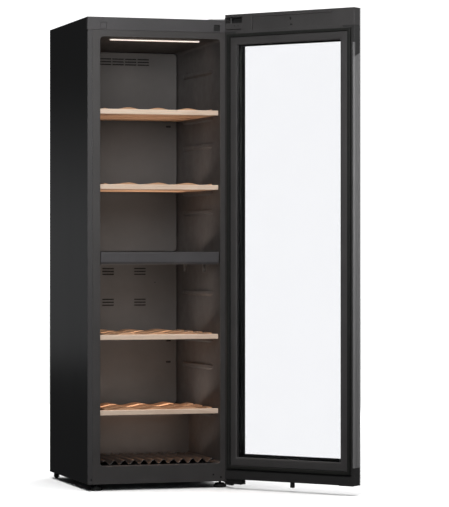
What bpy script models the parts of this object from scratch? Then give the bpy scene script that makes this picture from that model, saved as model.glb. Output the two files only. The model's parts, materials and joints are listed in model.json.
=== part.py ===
"""Tall free-standing wine cooler with two temperature zones, standing with its glass door open.

Every sub-part is one object, in metres, with +Z up and the front towards -Y.  Cabinet parts are
written in cabinet coordinates: x = 0 at the middle of the cabinet, y = 0 at its front face and
z = 0 at the floor.  The empty "cooler" moves all of them so that the origin lies on the floor
under the middle of the whole object.  Door parts are written as the door lies when shut, measured
from the hinge axis, and hang under the empty "door_axis", which turns them open.
"""

import math

import bmesh
import bpy
from mathutils import Matrix, Vector

# Cabinet
GAP = 0.0003
WIDTH = 0.595
DEPTH = 0.650
BODY_BOTTOM = 0.0262
BODY_TOP = 1.862
SHEET = 0.001
SIDE_RETURN = 0.0197
REAR_RETURN = 0.015
HEADER_BOTTOM = 1.8111
HEADER_DEPTH = 0.0197
REAR_PAD = 0.002
HALF = WIDTH / 2

# Moulded liner and the space inside it
LINER = 0.0018
FLANGE = 0.002
OPENING_HALF = 0.2467
OPENING_BOTTOM = 0.0969
OPENING_TOP = 1.785
OPENING_RADIUS = 0.014
WALL_DRAFT = 0.0388
CEILING_DRAFT = 0.0273
LINER_BACK = 0.603
HUMP_FRONT = 0.400
HUMP_TOP = 0.305
HUMP_FOAM = 0.035

# Shelves
SHELF_TOPS = (1.5020, 1.2053, 0.6118, 0.3150)
DIVIDER_TOP = 0.9385
SHELF_THICK = 0.0195
SHELF_FRONT = 0.015
SHELF_BACK = 0.522
LOW_SHELF_BACK = 0.392
SHELF_TRAVEL = 0.27
RAIL_DEPTH = 0.018
SLATS = 4
SLAT_WIDTH = 0.096
SLAT_HALF = 0.2205
CRADLE_PITCH = 0.1225
CRADLE_DEPTH = 0.009
RIB_FRONT = 0.092
RIB_BACK = 0.474
RIB_REACH = 0.009
SPARE_RIB_RISE = 0.1875

# Ducts behind the rear wall
DUCT_FRONT = 0.550
DUCT_WALL = 0.0016
DUCT_HALF = 0.2218

# Door
DOOR_OPEN_DEG = 129.5
DOOR_GAP = 0.012
DOOR_THICK = 0.048
GLASS = 0.004
DOOR_BOTTOM = 0.038
DOOR_TOP = 1.8795
FRAME_BOTTOM = 0.0722
FRAME_TOP = 1.8108
STILE = 0.0527
HINGE_FROM_EDGE = 0.016
HINGE_FROM_FACE = 0.020
GRIP_WIDTH = 0.0067
GRIP_BOTTOM = 0.107
GRIP_TOP = 1.745
PIN_RADIUS = 0.004
BORE_RADIUS = 0.0043

HINGE_X = HALF - HINGE_FROM_EDGE
HINGE_Y = -DOOR_GAP - HINGE_FROM_FACE
ROUND = 20


def whole_box_middle():
    """The middle, in cabinet coordinates, of the box round the cabinet and the open door."""
    turn = Matrix.Rotation(math.radians(DOOR_OPEN_DEG), 2)
    near = HINGE_FROM_FACE
    far = HINGE_FROM_FACE - DOOR_THICK
    corners = [
        turn @ Vector((x, y))
        for x in (HINGE_FROM_EDGE, HINGE_FROM_EDGE - WIDTH)
        for y in (near, far)
    ]
    right = HINGE_X + max(c.x for c in corners)
    front = HINGE_Y + min(c.y for c in corners)
    return (right - HALF) / 2, (front + DEPTH + REAR_PAD) / 2


# Plain tools


def clear_scene():
    for old in list(bpy.data.objects):
        bpy.data.objects.remove(old, do_unlink=True)


def empty(name, place, parent=None):
    axis = bpy.data.objects.new(name, None)
    axis.empty_display_size = 0.05
    axis.location = place
    axis.parent = parent
    bpy.context.scene.collection.objects.link(axis)
    return axis


def material(name, colour, roughness, metallic=0.0):
    paint = bpy.data.materials.new(name)
    paint.use_nodes = True
    shader = paint.node_tree.nodes["Principled BSDF"]
    shader.inputs["Base Color"].default_value = (*colour, 1.0)
    shader.inputs["Roughness"].default_value = roughness
    shader.inputs["Metallic"].default_value = metallic
    paint.diffuse_color = (*colour, 1.0)
    return paint


def part(name, shape, parent, look, smooth=False):
    """Turns a finished shape into the object of one sub-part."""
    bmesh.ops.recalc_face_normals(shape, faces=shape.faces)
    mesh = bpy.data.meshes.new(name)
    shape.to_mesh(mesh)
    shape.free()
    if smooth:
        mesh.shade_smooth()
        mesh.set_sharp_from_angle(angle=math.radians(35))
    mesh.materials.append(material(name, *look))
    piece = bpy.data.objects.new(name, mesh)
    piece.parent = parent
    bpy.context.scene.collection.objects.link(piece)
    return piece


def temporary(shape):
    mesh = bpy.data.meshes.new("temporary")
    bmesh.ops.recalc_face_normals(shape, faces=shape.faces)
    shape.to_mesh(mesh)
    shape.free()
    holder = bpy.data.objects.new("temporary", mesh)
    bpy.context.scene.collection.objects.link(holder)
    return holder


def combine(base, tools, operation):
    """Applies one exact Boolean after another and frees the shapes that went in."""
    holder = temporary(base)
    used = [temporary(tool) for tool in tools]
    for tool in used:
        step = holder.modifiers.new("combine", "BOOLEAN")
        step.operation = operation
        step.solver = "EXACT"
        step.object = tool
    result = bmesh.new()
    result.from_object(holder, bpy.context.evaluated_depsgraph_get())
    for old in [holder, *used]:
        mesh = old.data
        bpy.data.objects.remove(old, do_unlink=True)
        bpy.data.meshes.remove(mesh)
    return result


def cut(base, *tools):
    return combine(base, tools, "DIFFERENCE")


def fuse(base, *tools):
    return combine(base, tools, "UNION")


def common(base, *tools):
    return combine(base, tools, "INTERSECT")


def loft(rings):
    """A closed solid through rings of points, all with the same count."""
    shape = bmesh.new()
    made = [[shape.verts.new(point) for point in ring] for ring in rings]
    count = len(made[0])
    for lower, upper in zip(made, made[1:]):
        for i in range(count):
            j = (i + 1) % count
            shape.faces.new((lower[i], lower[j], upper[j], upper[i]))
    shape.faces.new(list(reversed(made[0])))
    shape.faces.new(made[-1])
    return shape


def prism(outline, axis, low, high):
    """A flat outline pushed along x, y or z; it is given as (y, z), (x, z) or (x, y)."""

    def lift(point, along):
        a, b = point
        return {"x": (along, a, b), "y": (a, along, b), "z": (a, b, along)}[axis]

    return loft([[lift(p, along) for p in outline] for along in (low, high)])


def box(x, y, z):
    """A box from its three (low, high) pairs."""
    outline = [(x[0], y[0]), (x[1], y[0]), (x[1], y[1]), (x[0], y[1])]
    return prism(outline, "z", *z)


def turned(profile, middle, axis, segments=ROUND):
    """A round solid from (radius, distance along the axis) pairs, closed at both ends."""
    rings = []
    for radius, along in profile:
        ring = []
        for i in range(segments):
            angle = 2 * math.pi * i / segments
            a, b = radius * math.cos(angle), radius * math.sin(angle)
            offset = {"x": (along, a, b), "y": (b, along, a), "z": (a, b, along)}[axis]
            ring.append(Vector(middle) + Vector(offset))
        rings.append(ring)
    return loft(rings)


def rectangle_ring(profile, low, high, scale=(1.0, 1.0, 1.0)):
    """A frame round a rectangle in x and z, from (inset, y) pairs with mitred corners.

    The scale multiplies the inset at the sides, the bottom and the top.
    """
    side, bottom, top = scale
    shape = bmesh.new()
    loops = []
    for inset, y in profile:
        left, right = low[0] + inset * side, high[0] - inset * side
        floor, roof = low[1] + inset * bottom, high[1] - inset * top
        corners = ((left, floor), (right, floor), (right, roof), (left, roof))
        loops.append([shape.verts.new((x, y, z)) for x, z in corners])
    for this, following in zip(loops, loops[1:] + loops[:1]):
        for i in range(4):
            j = (i + 1) % 4
            shape.faces.new((this[i], this[j], following[j], following[i]))
    return shape


def moved(shape, offset):
    bmesh.ops.translate(shape, verts=shape.verts, vec=offset)
    return shape


def spun(shape, middle, axis, degrees):
    turn = Matrix.Rotation(math.radians(degrees), 3, axis)
    bmesh.ops.rotate(shape, verts=shape.verts, cent=middle, matrix=turn)
    return shape


def rounded(x, z, radius, steps=4):
    """A rectangle outline in x and z with round corners."""
    points = []
    centres = (
        (x[1] - radius, z[1] - radius, 0),
        (x[0] + radius, z[1] - radius, 90),
        (x[0] + radius, z[0] + radius, 180),
        (x[1] - radius, z[0] + radius, 270),
    )
    for cx, cz, start in centres:
        for i in range(steps + 1):
            angle = math.radians(start + 90 * i / steps)
            points.append((cx + radius * math.cos(angle), cz + radius * math.sin(angle)))
    return points


# Shape of the cold space


def wall_x(y):
    """Half the width between the liner's side walls, which draw in towards the back."""
    return OPENING_HALF - WALL_DRAFT * y


def ceiling_z(y):
    return OPENING_TOP - CEILING_DRAFT * y


def tapered_plan(margin, front, back, low=0.0, high=2.0):
    """An upright block that keeps a margin to both side walls; it may be negative."""
    outline = [
        (-wall_x(front) + margin, front),
        (wall_x(front) - margin, front),
        (wall_x(back) - margin, back),
        (-wall_x(back) + margin, back),
    ]
    return prism(outline, "z", low, high)


def cold_space(grow, front, back):
    """The inside of the liner, or with grow its outside, before the hump is taken off."""
    rings = []
    for y in (front, back):
        half = wall_x(max(y, 0.0)) + grow
        roof = ceiling_z(max(y, 0.0)) + grow
        outline = rounded((-half, half), (OPENING_BOTTOM - grow, roof), OPENING_RADIUS + grow)
        rings.append([(x, y, z) for x, z in outline])
    return loft(rings)


def rib(side, top, height=0.020):
    """A ledge on one side wall, with a sloping underside; both its ends run out into the wall."""
    rings = []
    run_out = 0.035
    stations = (
        (RIB_FRONT, 0.0004),
        (RIB_FRONT + run_out, RIB_REACH),
        (RIB_BACK - run_out, RIB_REACH),
        (RIB_BACK, 0.0004),
    )
    for y, reach in stations:
        wall = wall_x(y)
        section = (
            (wall + 0.001, top),
            (wall - reach, top),
            (wall - reach, top - height * 0.55),
            (wall + 0.001, top - height),
        )
        rings.append([(side * x, y, z) for x, z in section])
    return loft(rings)


# Cabinet shell

BLACK_STEEL = ((0.020, 0.020, 0.021), 0.42, 0.0)
DARK_PLASTIC = ((0.075, 0.072, 0.074), 0.5, 0.0)
BLACK_PLASTIC = ((0.018, 0.018, 0.018), 0.5, 0.0)
LINER_GREY = ((0.060, 0.055, 0.053), 0.45, 0.0)
FOAM = ((0.80, 0.74, 0.52), 0.9, 0.0)
ZINC = ((0.55, 0.56, 0.58), 0.35, 1.0)
ALUMINIUM = ((0.33, 0.33, 0.34), 0.35, 1.0)
BEECH = ((0.72, 0.52, 0.38), 0.55, 0.0)
BEECH_DECK = ((0.42, 0.23, 0.13), 0.6, 0.0)
RUBBER = ((0.012, 0.012, 0.012), 0.7, 0.0)
CLEAR_GLASS = ((0.85, 0.90, 0.92), 0.05, 0.0)
LAMP = ((0.95, 0.88, 0.78), 0.4, 0.0)


def side_panel(name, side, parent):
    inner = HALF - SHEET
    front = HALF - SIDE_RETURN
    back = HALF - REAR_RETURN
    outline = [
        (HALF, 0.0),
        (HALF, DEPTH),
        (back, DEPTH),
        (back, DEPTH - SHEET),
        (inner, DEPTH - SHEET),
        (inner, SHEET),
        (front, SHEET),
        (front, 0.0),
    ]
    panel = prism([(side * x, y) for x, y in outline], "z", BODY_BOTTOM, BODY_TOP - 0.0005)
    header_room = box((-HALF - 0.01, HALF + 0.01), (-0.01, HEADER_DEPTH + GAP), (HEADER_BOTTOM - GAP, 2.0))
    return part(name, cut(panel, header_room), parent, BLACK_STEEL)


def top_panel(parent):
    """The lid, with a field pressed up by a millimetre."""
    edge = HALF - SHEET - GAP
    front, back = HEADER_DEPTH + GAP, DEPTH - SHEET - GAP
    lid = box((-edge, edge), (front, back), (BODY_TOP - 0.002, BODY_TOP - 0.0005))
    rings = []
    for inset, z in ((0.085, BODY_TOP - 0.001), (0.090, BODY_TOP + 0.0005)):
        x, y = edge - inset, (front + inset, back - inset)
        rings.append([(-x, y[0], z), (x, y[0], z), (x, y[1], z), (-x, y[1], z)])
    return part("top_panel", fuse(lid, loft(rings)), parent, BLACK_STEEL)


def rear_panel(parent):
    """The back sheet, with two stiffening fields pressed outwards."""
    edge = HALF - REAR_RETURN - GAP
    low, high = HUMP_TOP + 0.004, BODY_TOP - 0.0025
    sheet = box((-edge, edge), (DEPTH - SHEET, DEPTH), (low, high))
    middle = (low + high) / 2
    fields = []
    for bottom, top in ((low + 0.06, middle - 0.03), (middle + 0.03, high - 0.06)):
        rings = []
        for inset, y in ((0.0, DEPTH - SHEET / 2), (0.004, DEPTH + REAR_PAD)):
            x = edge - 0.06 - inset
            z = (bottom + inset, top - inset)
            rings.append([(-x, y, z[0]), (x, y, z[0]), (x, y, z[1]), (-x, y, z[1])])
        fields.append(loft(rings))
    return part("rear_panel", fuse(sheet, *fields), parent, BLACK_STEEL)


ROLLER_X = 0.280
ROLLER_Y = 0.600
ROLLER_RADIUS = 0.0115
ROLLER_WIDTH = 0.010
AXLE_RADIUS = 0.0027


def base_frame(parent):
    """The bottom plate, with the lugs that carry the rear rollers."""
    edge = HALF - SHEET - GAP
    top = BODY_BOTTOM + 0.002
    frame = box((-edge, edge), (0.0045, DEPTH - SHEET - GAP), (BODY_BOTTOM, top))
    lugs = []
    for side in (-1, 1):
        for reach in (-1, 1):
            near = ROLLER_X + reach * (ROLLER_WIDTH / 2 + 0.001)
            far = near + reach * 0.003
            x = sorted((side * near, side * far))
            lugs.append(box(x, (ROLLER_Y - 0.012, ROLLER_Y + 0.012), (0.006, BODY_BOTTOM + 0.001)))
    runners = [
        box(sorted((side * 0.200, side * 0.225)), (0.080, 0.620), (BODY_BOTTOM - 0.006, top - 0.001))
        for side in (-1, 1)
    ]
    frame = fuse(frame, *lugs, *runners)
    bore = turned([(0.003, -0.4), (0.003, 0.4)], (0, ROLLER_Y, ROLLER_RADIUS), "x", 12)
    foot_holes = [
        turned([(0.0058, 0.0), (0.0058, 0.1)], (side * FOOT_X, FOOT_Y, 0), "z", 12) for side in (-1, 1)
    ]
    return part("base_frame", cut(frame, bore, *foot_holes), parent, BLACK_STEEL)


NOTCH = (0.2197, 0.2447)
NOTCH_Z = (1.8152, 1.8412)
NOTCH_DEPTH = 0.012


def front_header(parent):
    """The plastic strip over the opening, with a square pocket near each end."""
    top, soft = BODY_TOP, 0.002
    outline = [
        (0.0, HEADER_BOTTOM),
        (HEADER_DEPTH, HEADER_BOTTOM),
        (HEADER_DEPTH, top),
        (soft, top),
        (0.0, top - soft),
    ]
    strip = prism(outline, "x", -HALF, HALF)
    pockets = [box(sorted((side * NOTCH[0], side * NOTCH[1])), (-0.01, NOTCH_DEPTH), NOTCH_Z) for side in (-1, 1)]
    return part("front_header", cut(strip, *pockets), parent, DARK_PLASTIC)


def header_plug(parent):
    """The blank cap in the pocket that the hinge side doesn't use."""
    x = (-NOTCH[1] + GAP, -NOTCH[0] - GAP)
    z = (NOTCH_Z[0] + GAP, NOTCH_Z[1] - GAP)
    cap = box(x, (0.0005, NOTCH_DEPTH - GAP), z)
    edges = [e for e in cap.edges if all(v.co.y < 0.001 for v in e.verts)]
    bmesh.ops.bevel(cap, geom=edges, offset=0.0012, segments=1, affect="EDGES")
    return part("header_plug", cap, parent, DARK_PLASTIC)


def inner_liner(parent):
    """The moulded tub with its front flange, shelf ledges and the step over the compressor."""
    flange_half = HALF - SIDE_RETURN - GAP
    flange = box((-flange_half, flange_half), (0.0, FLANGE), (BODY_BOTTOM, HEADER_BOTTOM - GAP))
    below_hump = box((-0.4, 0.4), (HUMP_FRONT + LINER, 0.8), (0.0, HUMP_TOP - LINER))
    outside = cut(cold_space(LINER, 0.0, LINER_BACK + LINER), below_hump)
    ledges = []
    for side in (-1, 1):
        for bottom in shelf_bottoms():
            ledges.append(rib(side, bottom - 0.0005))
            ledges.append(rib(side, bottom + SPARE_RIB_RISE))
        ledges.append(rib(side, DIVIDER_TOP + SPARE_RIB_RISE - SHELF_THICK))
        for y in (0.191, 0.435):
            x = sorted((side * (wall_x(y) + 0.001), side * (wall_x(y) - 0.011)))
            ledges.append(box(x, (y - 0.006, y + 0.006), (0.858, DIVIDER_BOTTOM - 0.0005)))
    hump = box((-0.4, 0.4), (HUMP_FRONT, 0.8), (0.0, HUMP_TOP))
    inside = cut(cold_space(0.0, -0.01, LINER_BACK), hump, *ledges)
    return part("inner_liner", cut(fuse(flange, outside), inside), parent, LINER_GREY)


def shelf_bottoms():
    return [top - SHELF_THICK for top in SHELF_TOPS]


# Foam between the shell and the liner

FOAM_MARGIN = LINER + GAP


def side_insulation(name, side, parent):
    outer = HALF - SHEET - GAP
    front, back = FLANGE + GAP, DEPTH - SHEET - GAP
    outline = [
        (outer, front),
        (wall_x(front) + FOAM_MARGIN, front),
        (wall_x(back) + FOAM_MARGIN, back),
        (outer, back),
    ]
    slab = prism([(side * x, y) for x, y in outline], "z", BODY_BOTTOM + 0.0023, HEADER_BOTTOM - 0.0014)
    return part(name, slab, parent, FOAM)


def top_insulation(parent):
    outer = HALF - SHEET - GAP
    front, back = FLANGE + GAP, DEPTH - SHEET - GAP
    top = HEADER_BOTTOM - GAP
    slab = box((-outer, outer), (HEADER_DEPTH + GAP, back), (top - 0.0008, BODY_TOP - 0.0023))
    wedge = [
        (front, ceiling_z(front) + FOAM_MARGIN),
        (back, ceiling_z(back) + FOAM_MARGIN),
        (back, top),
        (front, top),
    ]
    lower = common(prism(wedge, "x", -0.4, 0.4), tapered_plan(-LINER, 0.0, DEPTH))
    return part("insulation_top", fuse(slab, lower), parent, FOAM)


def rear_insulation(parent):
    slab = box(
        (-wall_x(DEPTH), wall_x(DEPTH)),
        (LINER_BACK + FOAM_MARGIN, DEPTH - SHEET - GAP),
        (HUMP_TOP + 0.004, ceiling_z(DEPTH)),
    )
    return part("insulation_rear", slab, parent, FOAM)


def floor_insulation(parent):
    """The foam under the floor, which steps up and back over the compressor."""
    bottom, back = BODY_BOTTOM + 0.0023, DEPTH - SHEET - GAP
    room_front = HUMP_FRONT + FOAM_MARGIN + HUMP_FOAM
    outline = [
        (FLANGE + GAP, bottom),
        (room_front, bottom),
        (room_front, HUMP_TOP - FOAM_MARGIN - HUMP_FOAM),
        (back, HUMP_TOP - FOAM_MARGIN - HUMP_FOAM),
        (back, HUMP_TOP - FOAM_MARGIN),
        (HUMP_FRONT + FOAM_MARGIN, HUMP_TOP - FOAM_MARGIN),
        (HUMP_FRONT + FOAM_MARGIN, OPENING_BOTTOM - FOAM_MARGIN),
        (FLANGE + GAP, OPENING_BOTTOM - FOAM_MARGIN),
    ]
    block = common(prism(outline, "x", -0.4, 0.4), tapered_plan(-LINER, 0.0, DEPTH))
    return part("insulation_floor", block, parent, FOAM)


# Zone divider and lights

DIVIDER_BOTTOM = 0.8960
FASCIA_BACK = 0.021


def zone_divider(parent):
    front, back = FASCIA_BACK + GAP, DUCT_FRONT - 0.002
    board = tapered_plan(0.0015, front, back, DIVIDER_BOTTOM, DIVIDER_TOP - 0.001)
    return part("zone_divider", board, parent, LINER_GREY)


def divider_fascia(parent):
    outline = [
        (0.006, DIVIDER_TOP),
        (FASCIA_BACK, DIVIDER_TOP),
        (FASCIA_BACK, DIVIDER_BOTTOM - 0.0065),
        (0.012, DIVIDER_BOTTOM - 0.0065),
        (0.006, DIVIDER_BOTTOM + 0.0025),
    ]
    return part("divider_fascia", prism(outline, "x", -0.242, 0.242), parent, DARK_PLASTIC)


def light_bar(name, half, y, top, drop, parent):
    """A lamp bar with a curved lens below."""
    depth = 0.012
    outline = [(y, top), (y + depth, top)]
    for i in range(5):
        angle = math.pi * i / 4
        outline.append((y + depth / 2 * (1 + math.cos(angle)), top - drop / 2 - drop / 2 * math.sin(angle)))
    return part(name, prism(outline, "x", -half, half), parent, LAMP, smooth=True)


# Ducts, coolers and fans

FAN_RADIUS = 0.045
UPPER_FAN_Z = 1.600
LOWER_FAN_Z = 0.640
UPPER_LOUVRES = [(x, z) for x in (-0.084, -0.030, 0.024, 0.078) for z in (1.7400, 1.7285, 1.7170)]
LOWER_LOUVRES = [(x, z) for x in (-0.073, 0.064) for z in (0.870, 0.858, 0.846, 0.742, 0.730, 0.718)]


def duct_cover(name, z, louvres, ovals, fan_z, parent):
    """A wall panel with returned edges, air slots and a boss for the fan motor."""
    back = LINER_BACK - 0.0005
    outer = rounded((-DUCT_HALF, DUCT_HALF), z, OPENING_RADIUS, 3)
    inner_half = DUCT_HALF - DUCT_WALL
    inner_z = (z[0] + DUCT_WALL, z[1] - DUCT_WALL)
    inner = rounded((-inner_half, inner_half), inner_z, OPENING_RADIUS - DUCT_WALL, 3)
    shell = cut(prism(outer, "y", DUCT_FRONT, back), prism(inner, "y", DUCT_FRONT + DUCT_WALL, back + 0.01))
    boss = turned(
        [(0.012, DUCT_FRONT + DUCT_WALL / 2), (0.010, DUCT_FRONT + 0.010)], (0, 0, fan_z), "y", 12
    )
    shell = fuse(shell, boss)
    half, high = 0.0245, 0.0025
    through = (DUCT_FRONT - 0.01, DUCT_FRONT + 0.02)
    slots = [box((x - half, x + half), through, (zz - high, zz + high)) for x, zz in louvres]
    for x, zz in ovals:
        hole = rounded((x - 0.011, x + 0.011), (zz - 0.004, zz + 0.004), 0.0039, 2)
        slots.append(prism(hole, "y", *through))
    return part(name, cut(shell, *slots), parent, LINER_GREY)


def finned_block(x, y, z, fins):
    """A cooling coil drawn as a spine with upright fins on both faces."""
    pitch = (x[1] - x[0]) / fins
    spine = ((y[0] + y[1]) / 2 - 0.004, (y[0] + y[1]) / 2 + 0.004)
    front, back = [], []
    for i in range(fins):
        a = x[0] + pitch * (i + 0.25)
        b = x[0] + pitch * (i + 0.75)
        front += [(a, spine[0]), (a, y[0]), (b, y[0]), (b, spine[0])]
        back += [(a, spine[1]), (a, y[1]), (b, y[1]), (b, spine[1])]
    ends = [(x[0], spine[0])], [(x[1], spine[0]), (x[1], spine[1])], [(x[0], spine[1])]
    return prism(ends[0] + front + ends[1] + back[::-1] + ends[2], "z", *z)


def evaporator(name, z, parent):
    return part(name, finned_block((-0.17, 0.17), (0.562, 0.592), z, 14), parent, ZINC)


def rotor(name, middle, hub_radius, tip_radius, depth, blades, parent):
    """An axial fan whose axis runs along y; its origin is on that axis."""
    half = depth / 2
    hub = turned([(hub_radius, -half), (hub_radius, half)], (0, 0, 0), "y", 16)
    vanes = []
    for i in range(blades):
        vane = box((-0.0095, 0.0095), (-0.0008, 0.0008), (hub_radius * 0.8, tip_radius))
        spun(vane, (0, 0, 0), "Z", 32)
        spun(vane, (0, 0, 0), "Y", 360 * i / blades)
        vanes.append(vane)
    fan = part(name, fuse(hub, *vanes), parent, BLACK_PLASTIC)
    fan.location = middle
    return fan


# Machine room

ROOM_FRONT = HUMP_FRONT + FOAM_MARGIN + HUMP_FOAM
ROOM_FLOOR = BODY_BOTTOM + 0.0023
CONDENSER_FAN = (0.120, 0.5265, 0.118)


def compressor(parent):
    """A sealed steel pot on a foot plate with four rubber mounts and two pipe stubs."""
    middle = (-0.100, 0.545, 0.0)
    profile = [
        (0.030, 0.052),
        (0.066, 0.056),
        (0.078, 0.070),
        (0.080, 0.110),
        (0.083, 0.114),
        (0.083, 0.124),
        (0.079, 0.128),
        (0.077, 0.175),
        (0.066, 0.198),
        (0.040, 0.209),
        (0.012, 0.211),
    ]
    pot = turned(profile, middle, "z", 24)
    plate = box((-0.200, 0.0), (0.475, 0.615), (0.044, 0.054))
    mounts = []
    for x in (-0.188, -0.012):
        for y in (0.487, 0.603):
            mounts.append(turned([(0.010, ROOM_FLOOR + GAP), (0.008, 0.046)], (x, y, 0), "z", 10))
    stub = turned([(0.004, 0.0), (0.004, 0.036)], (-0.060, 0.545, 0.195), "z", 8)
    relay = box((-0.024, 0.006), (0.520, 0.570), (0.095, 0.155))
    return part("compressor", fuse(pot, plate, *mounts, stub, relay), parent, BLACK_STEEL, smooth=True)


def condenser(parent):
    block = finned_block((0.040, 0.200), (0.455, 0.500), (0.030, 0.196), 12)
    return part("condenser", block, parent, ZINC)


def condenser_fan_housing(parent):
    """A square shroud with a round throat and a cross of arms that holds the motor."""
    x, y, z = CONDENSER_FAN
    plate = box((x - 0.075, x + 0.075), (y - 0.013, y + 0.013), (ROOM_FLOOR + GAP, z + 0.078))
    throat = turned([(0.062, y - 0.05), (0.062, y + 0.05)], (x, 0, z), "y", 24)
    shroud = cut(plate, throat)
    arms = [
        box((x - 0.066, x + 0.066), (y + 0.009, y + 0.013), (z - 0.004, z + 0.004)),
        box((x - 0.004, x + 0.004), (y + 0.009, y + 0.013), (z - 0.066, z + 0.066)),
        turned([(0.019, y + 0.0085), (0.019, y + 0.018)], (x, 0, z), "y", 16),
    ]
    return part("condenser_fan_housing", fuse(shroud, *arms), parent, BLACK_PLASTIC)


def control_box(parent):
    case = box((0.045, 0.195), (0.545, 0.625), (0.212, 0.262))
    edges = [e for e in case.edges if all(v.co.z < 0.22 for v in e.verts)]
    bmesh.ops.bevel(case, geom=edges, offset=0.004, segments=1, affect="EDGES")
    return part("control_box", case, parent, DARK_PLASTIC)


def cord_gland(parent):
    """The rubber grommet on the control box where the mains cord would enter."""
    start = 0.625 + GAP
    profile = [
        (0.012, start),
        (0.012, start + 0.003),
        (0.0075, start + 0.004),
        (0.0055, start + 0.018),
        (0.0035, start + 0.018),
        (0.0030, start + 0.0165),
    ]
    return part("cord_gland", turned(profile, (0.165, 0, 0.238), "y", 14), parent, RUBBER, smooth=True)


# Bottle supports


def bottle_cradle(parent):
    """The corrugated rack on the floor of the lowest compartment."""
    pitch, swing, thick, half = 0.040, 0.008, 0.003, 0.228
    steps = int(2 * half / pitch * 6)
    low = OPENING_BOTTOM + swing + 0.0015
    wave = []
    for i in range(steps + 1):
        x = -half + 2 * half * i / steps
        wave.append((x, low - swing * math.cos(2 * math.pi * x / pitch)))
    outline = [(x, z + thick) for x, z in wave] + wave[::-1]
    return part("bottle_cradle", prism(outline, "y", 0.030, 0.385), parent, BLACK_PLASTIC, smooth=True)


def shelf_rail(name, top, parent):
    rail = box((-0.242, 0.242), (SHELF_FRONT, SHELF_FRONT + RAIL_DEPTH), (top - SHELF_THICK, top))
    edges = [e for e in rail.edges if abs(e.verts[0].co.x - e.verts[1].co.x) > 0.1]
    bmesh.ops.bevel(rail, geom=edges, offset=0.0012, segments=1, affect="EDGES")
    return part(name, rail, parent, BEECH)


def slat_outline(bottom, top):
    """The end view of a slat in x and z: bottle cradles above, shallower waves below."""
    upper, lower = [], []
    steps = 24
    for i in range(steps + 1):
        x = -SLAT_HALF + 2 * SLAT_HALF * i / steps
        crest = (1 + math.cos(2 * math.pi * x / CRADLE_PITCH)) / 2
        upper.append((x, top + CRADLE_DEPTH * crest))
        if i % 2 == 0:
            lower.append((x, bottom + 0.004 * crest))
    return lower + upper[::-1]


def shelf_deck(name, top, parent):
    """Cross slats with a cradle for each bottle, on two runners that follow the side walls."""
    front = SHELF_FRONT + RAIL_DEPTH + GAP
    bottom = top - SHELF_THICK
    above_hump = bottom > HUMP_TOP
    back = SHELF_BACK if above_hump else LOW_SHELF_BACK
    count = SLATS if above_hump else SLATS - 1
    pitch = (back - SLAT_WIDTH - front) / (count - 1)
    outline = slat_outline(bottom + 0.005, top - 0.001)
    slats = [prism(outline, "y", front + pitch * i, front + pitch * i + SLAT_WIDTH) for i in range(count)]
    runners = []
    for side in (-1, 1):
        plan = [
            (wall_x(front) - 0.0035, front),
            (wall_x(back) - 0.0035, back),
            (0.196, back),
            (0.196, front),
        ]
        runners.append(prism([(side * x, y) for x, y in plan], "z", bottom, bottom + 0.009))
    return part(name, fuse(runners[0], runners[1], *slats), parent, BEECH_DECK)


# Feet and rollers

FOOT_X = 0.255
FOOT_Y = 0.036
FOOT_SHANK = 0.0052


def front_foot(name, side, parent):
    """A levelling foot: a broad pad, a hand nut and the shank that screws into the base."""
    profile = [
        (0.022, 0.0),
        (0.026, 0.003),
        (0.026, 0.009),
        (0.019, 0.012),
        (0.019, 0.018),
        (FOOT_SHANK, 0.0185),
        (FOOT_SHANK, BODY_BOTTOM + 0.0021),
    ]
    foot = part(name, turned(profile, (0, 0, 0), "z"), parent, RUBBER, smooth=True)
    foot.location = (side * FOOT_X, FOOT_Y, 0)
    return foot


def rear_roller(name, side, parent):
    half = ROLLER_WIDTH / 2
    profile = [
        (AXLE_RADIUS, -half - 0.0035),
        (AXLE_RADIUS, -half),
        (ROLLER_RADIUS - 0.001, -half),
        (ROLLER_RADIUS, -half + 0.001),
        (ROLLER_RADIUS, half - 0.001),
        (ROLLER_RADIUS - 0.001, half),
        (AXLE_RADIUS, half),
        (AXLE_RADIUS, half + 0.0035),
    ]
    roller = part(name, turned(profile, (0, 0, 0), "x"), parent, BLACK_PLASTIC, smooth=True)
    roller.location = (side * ROLLER_X, ROLLER_Y, ROLLER_RADIUS)
    return roller


# Hinges on the cabinet

UPPER_ARM = (1.8624, 1.8654)
LOWER_ARM = (0.012, 0.016)
BLOCK_BOTTOM = 0.018


def arc(middle, radius, start, end, steps):
    points = []
    for i in range(steps + 1):
        angle = math.radians(start + (end - start) * i / steps)
        points.append((middle[0] + radius * math.cos(angle), middle[1] + radius * math.sin(angle)))
    return points


def upper_hinge_bracket(parent):
    """The plate on the roof whose narrow arm reaches into the door and carries the top pin."""
    boss = arc((HINGE_X, HINGE_Y), 0.010, 180, 360, 8)
    outline = boss + [
        (HINGE_X + 0.003, HINGE_Y + 0.011),
        (HINGE_X + 0.003, 0.004),
        (0.290, 0.006),
        (0.290, 0.066),
        (0.205, 0.066),
        (0.205, 0.024),
        (HINGE_X - 0.016, 0.004),
        (HINGE_X - 0.016, HINGE_Y + 0.020),
        (HINGE_X - 0.010, HINGE_Y + 0.011),
    ]
    plate = prism(outline, "z", *UPPER_ARM)
    pin = turned([(PIN_RADIUS, 1.824), (PIN_RADIUS, UPPER_ARM[0] + 0.001)], (HINGE_X, HINGE_Y, 0), "z", 16)
    holes = [
        turned([(0.0026, 1.8), (0.0026, 1.9)], (x, y, 0), "z", 10) for x, y in ((0.225, 0.045), (0.272, 0.045))
    ]
    return part("upper_hinge_bracket", cut(fuse(plate, pin), *holes), parent, BLACK_STEEL, smooth=True)


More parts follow.
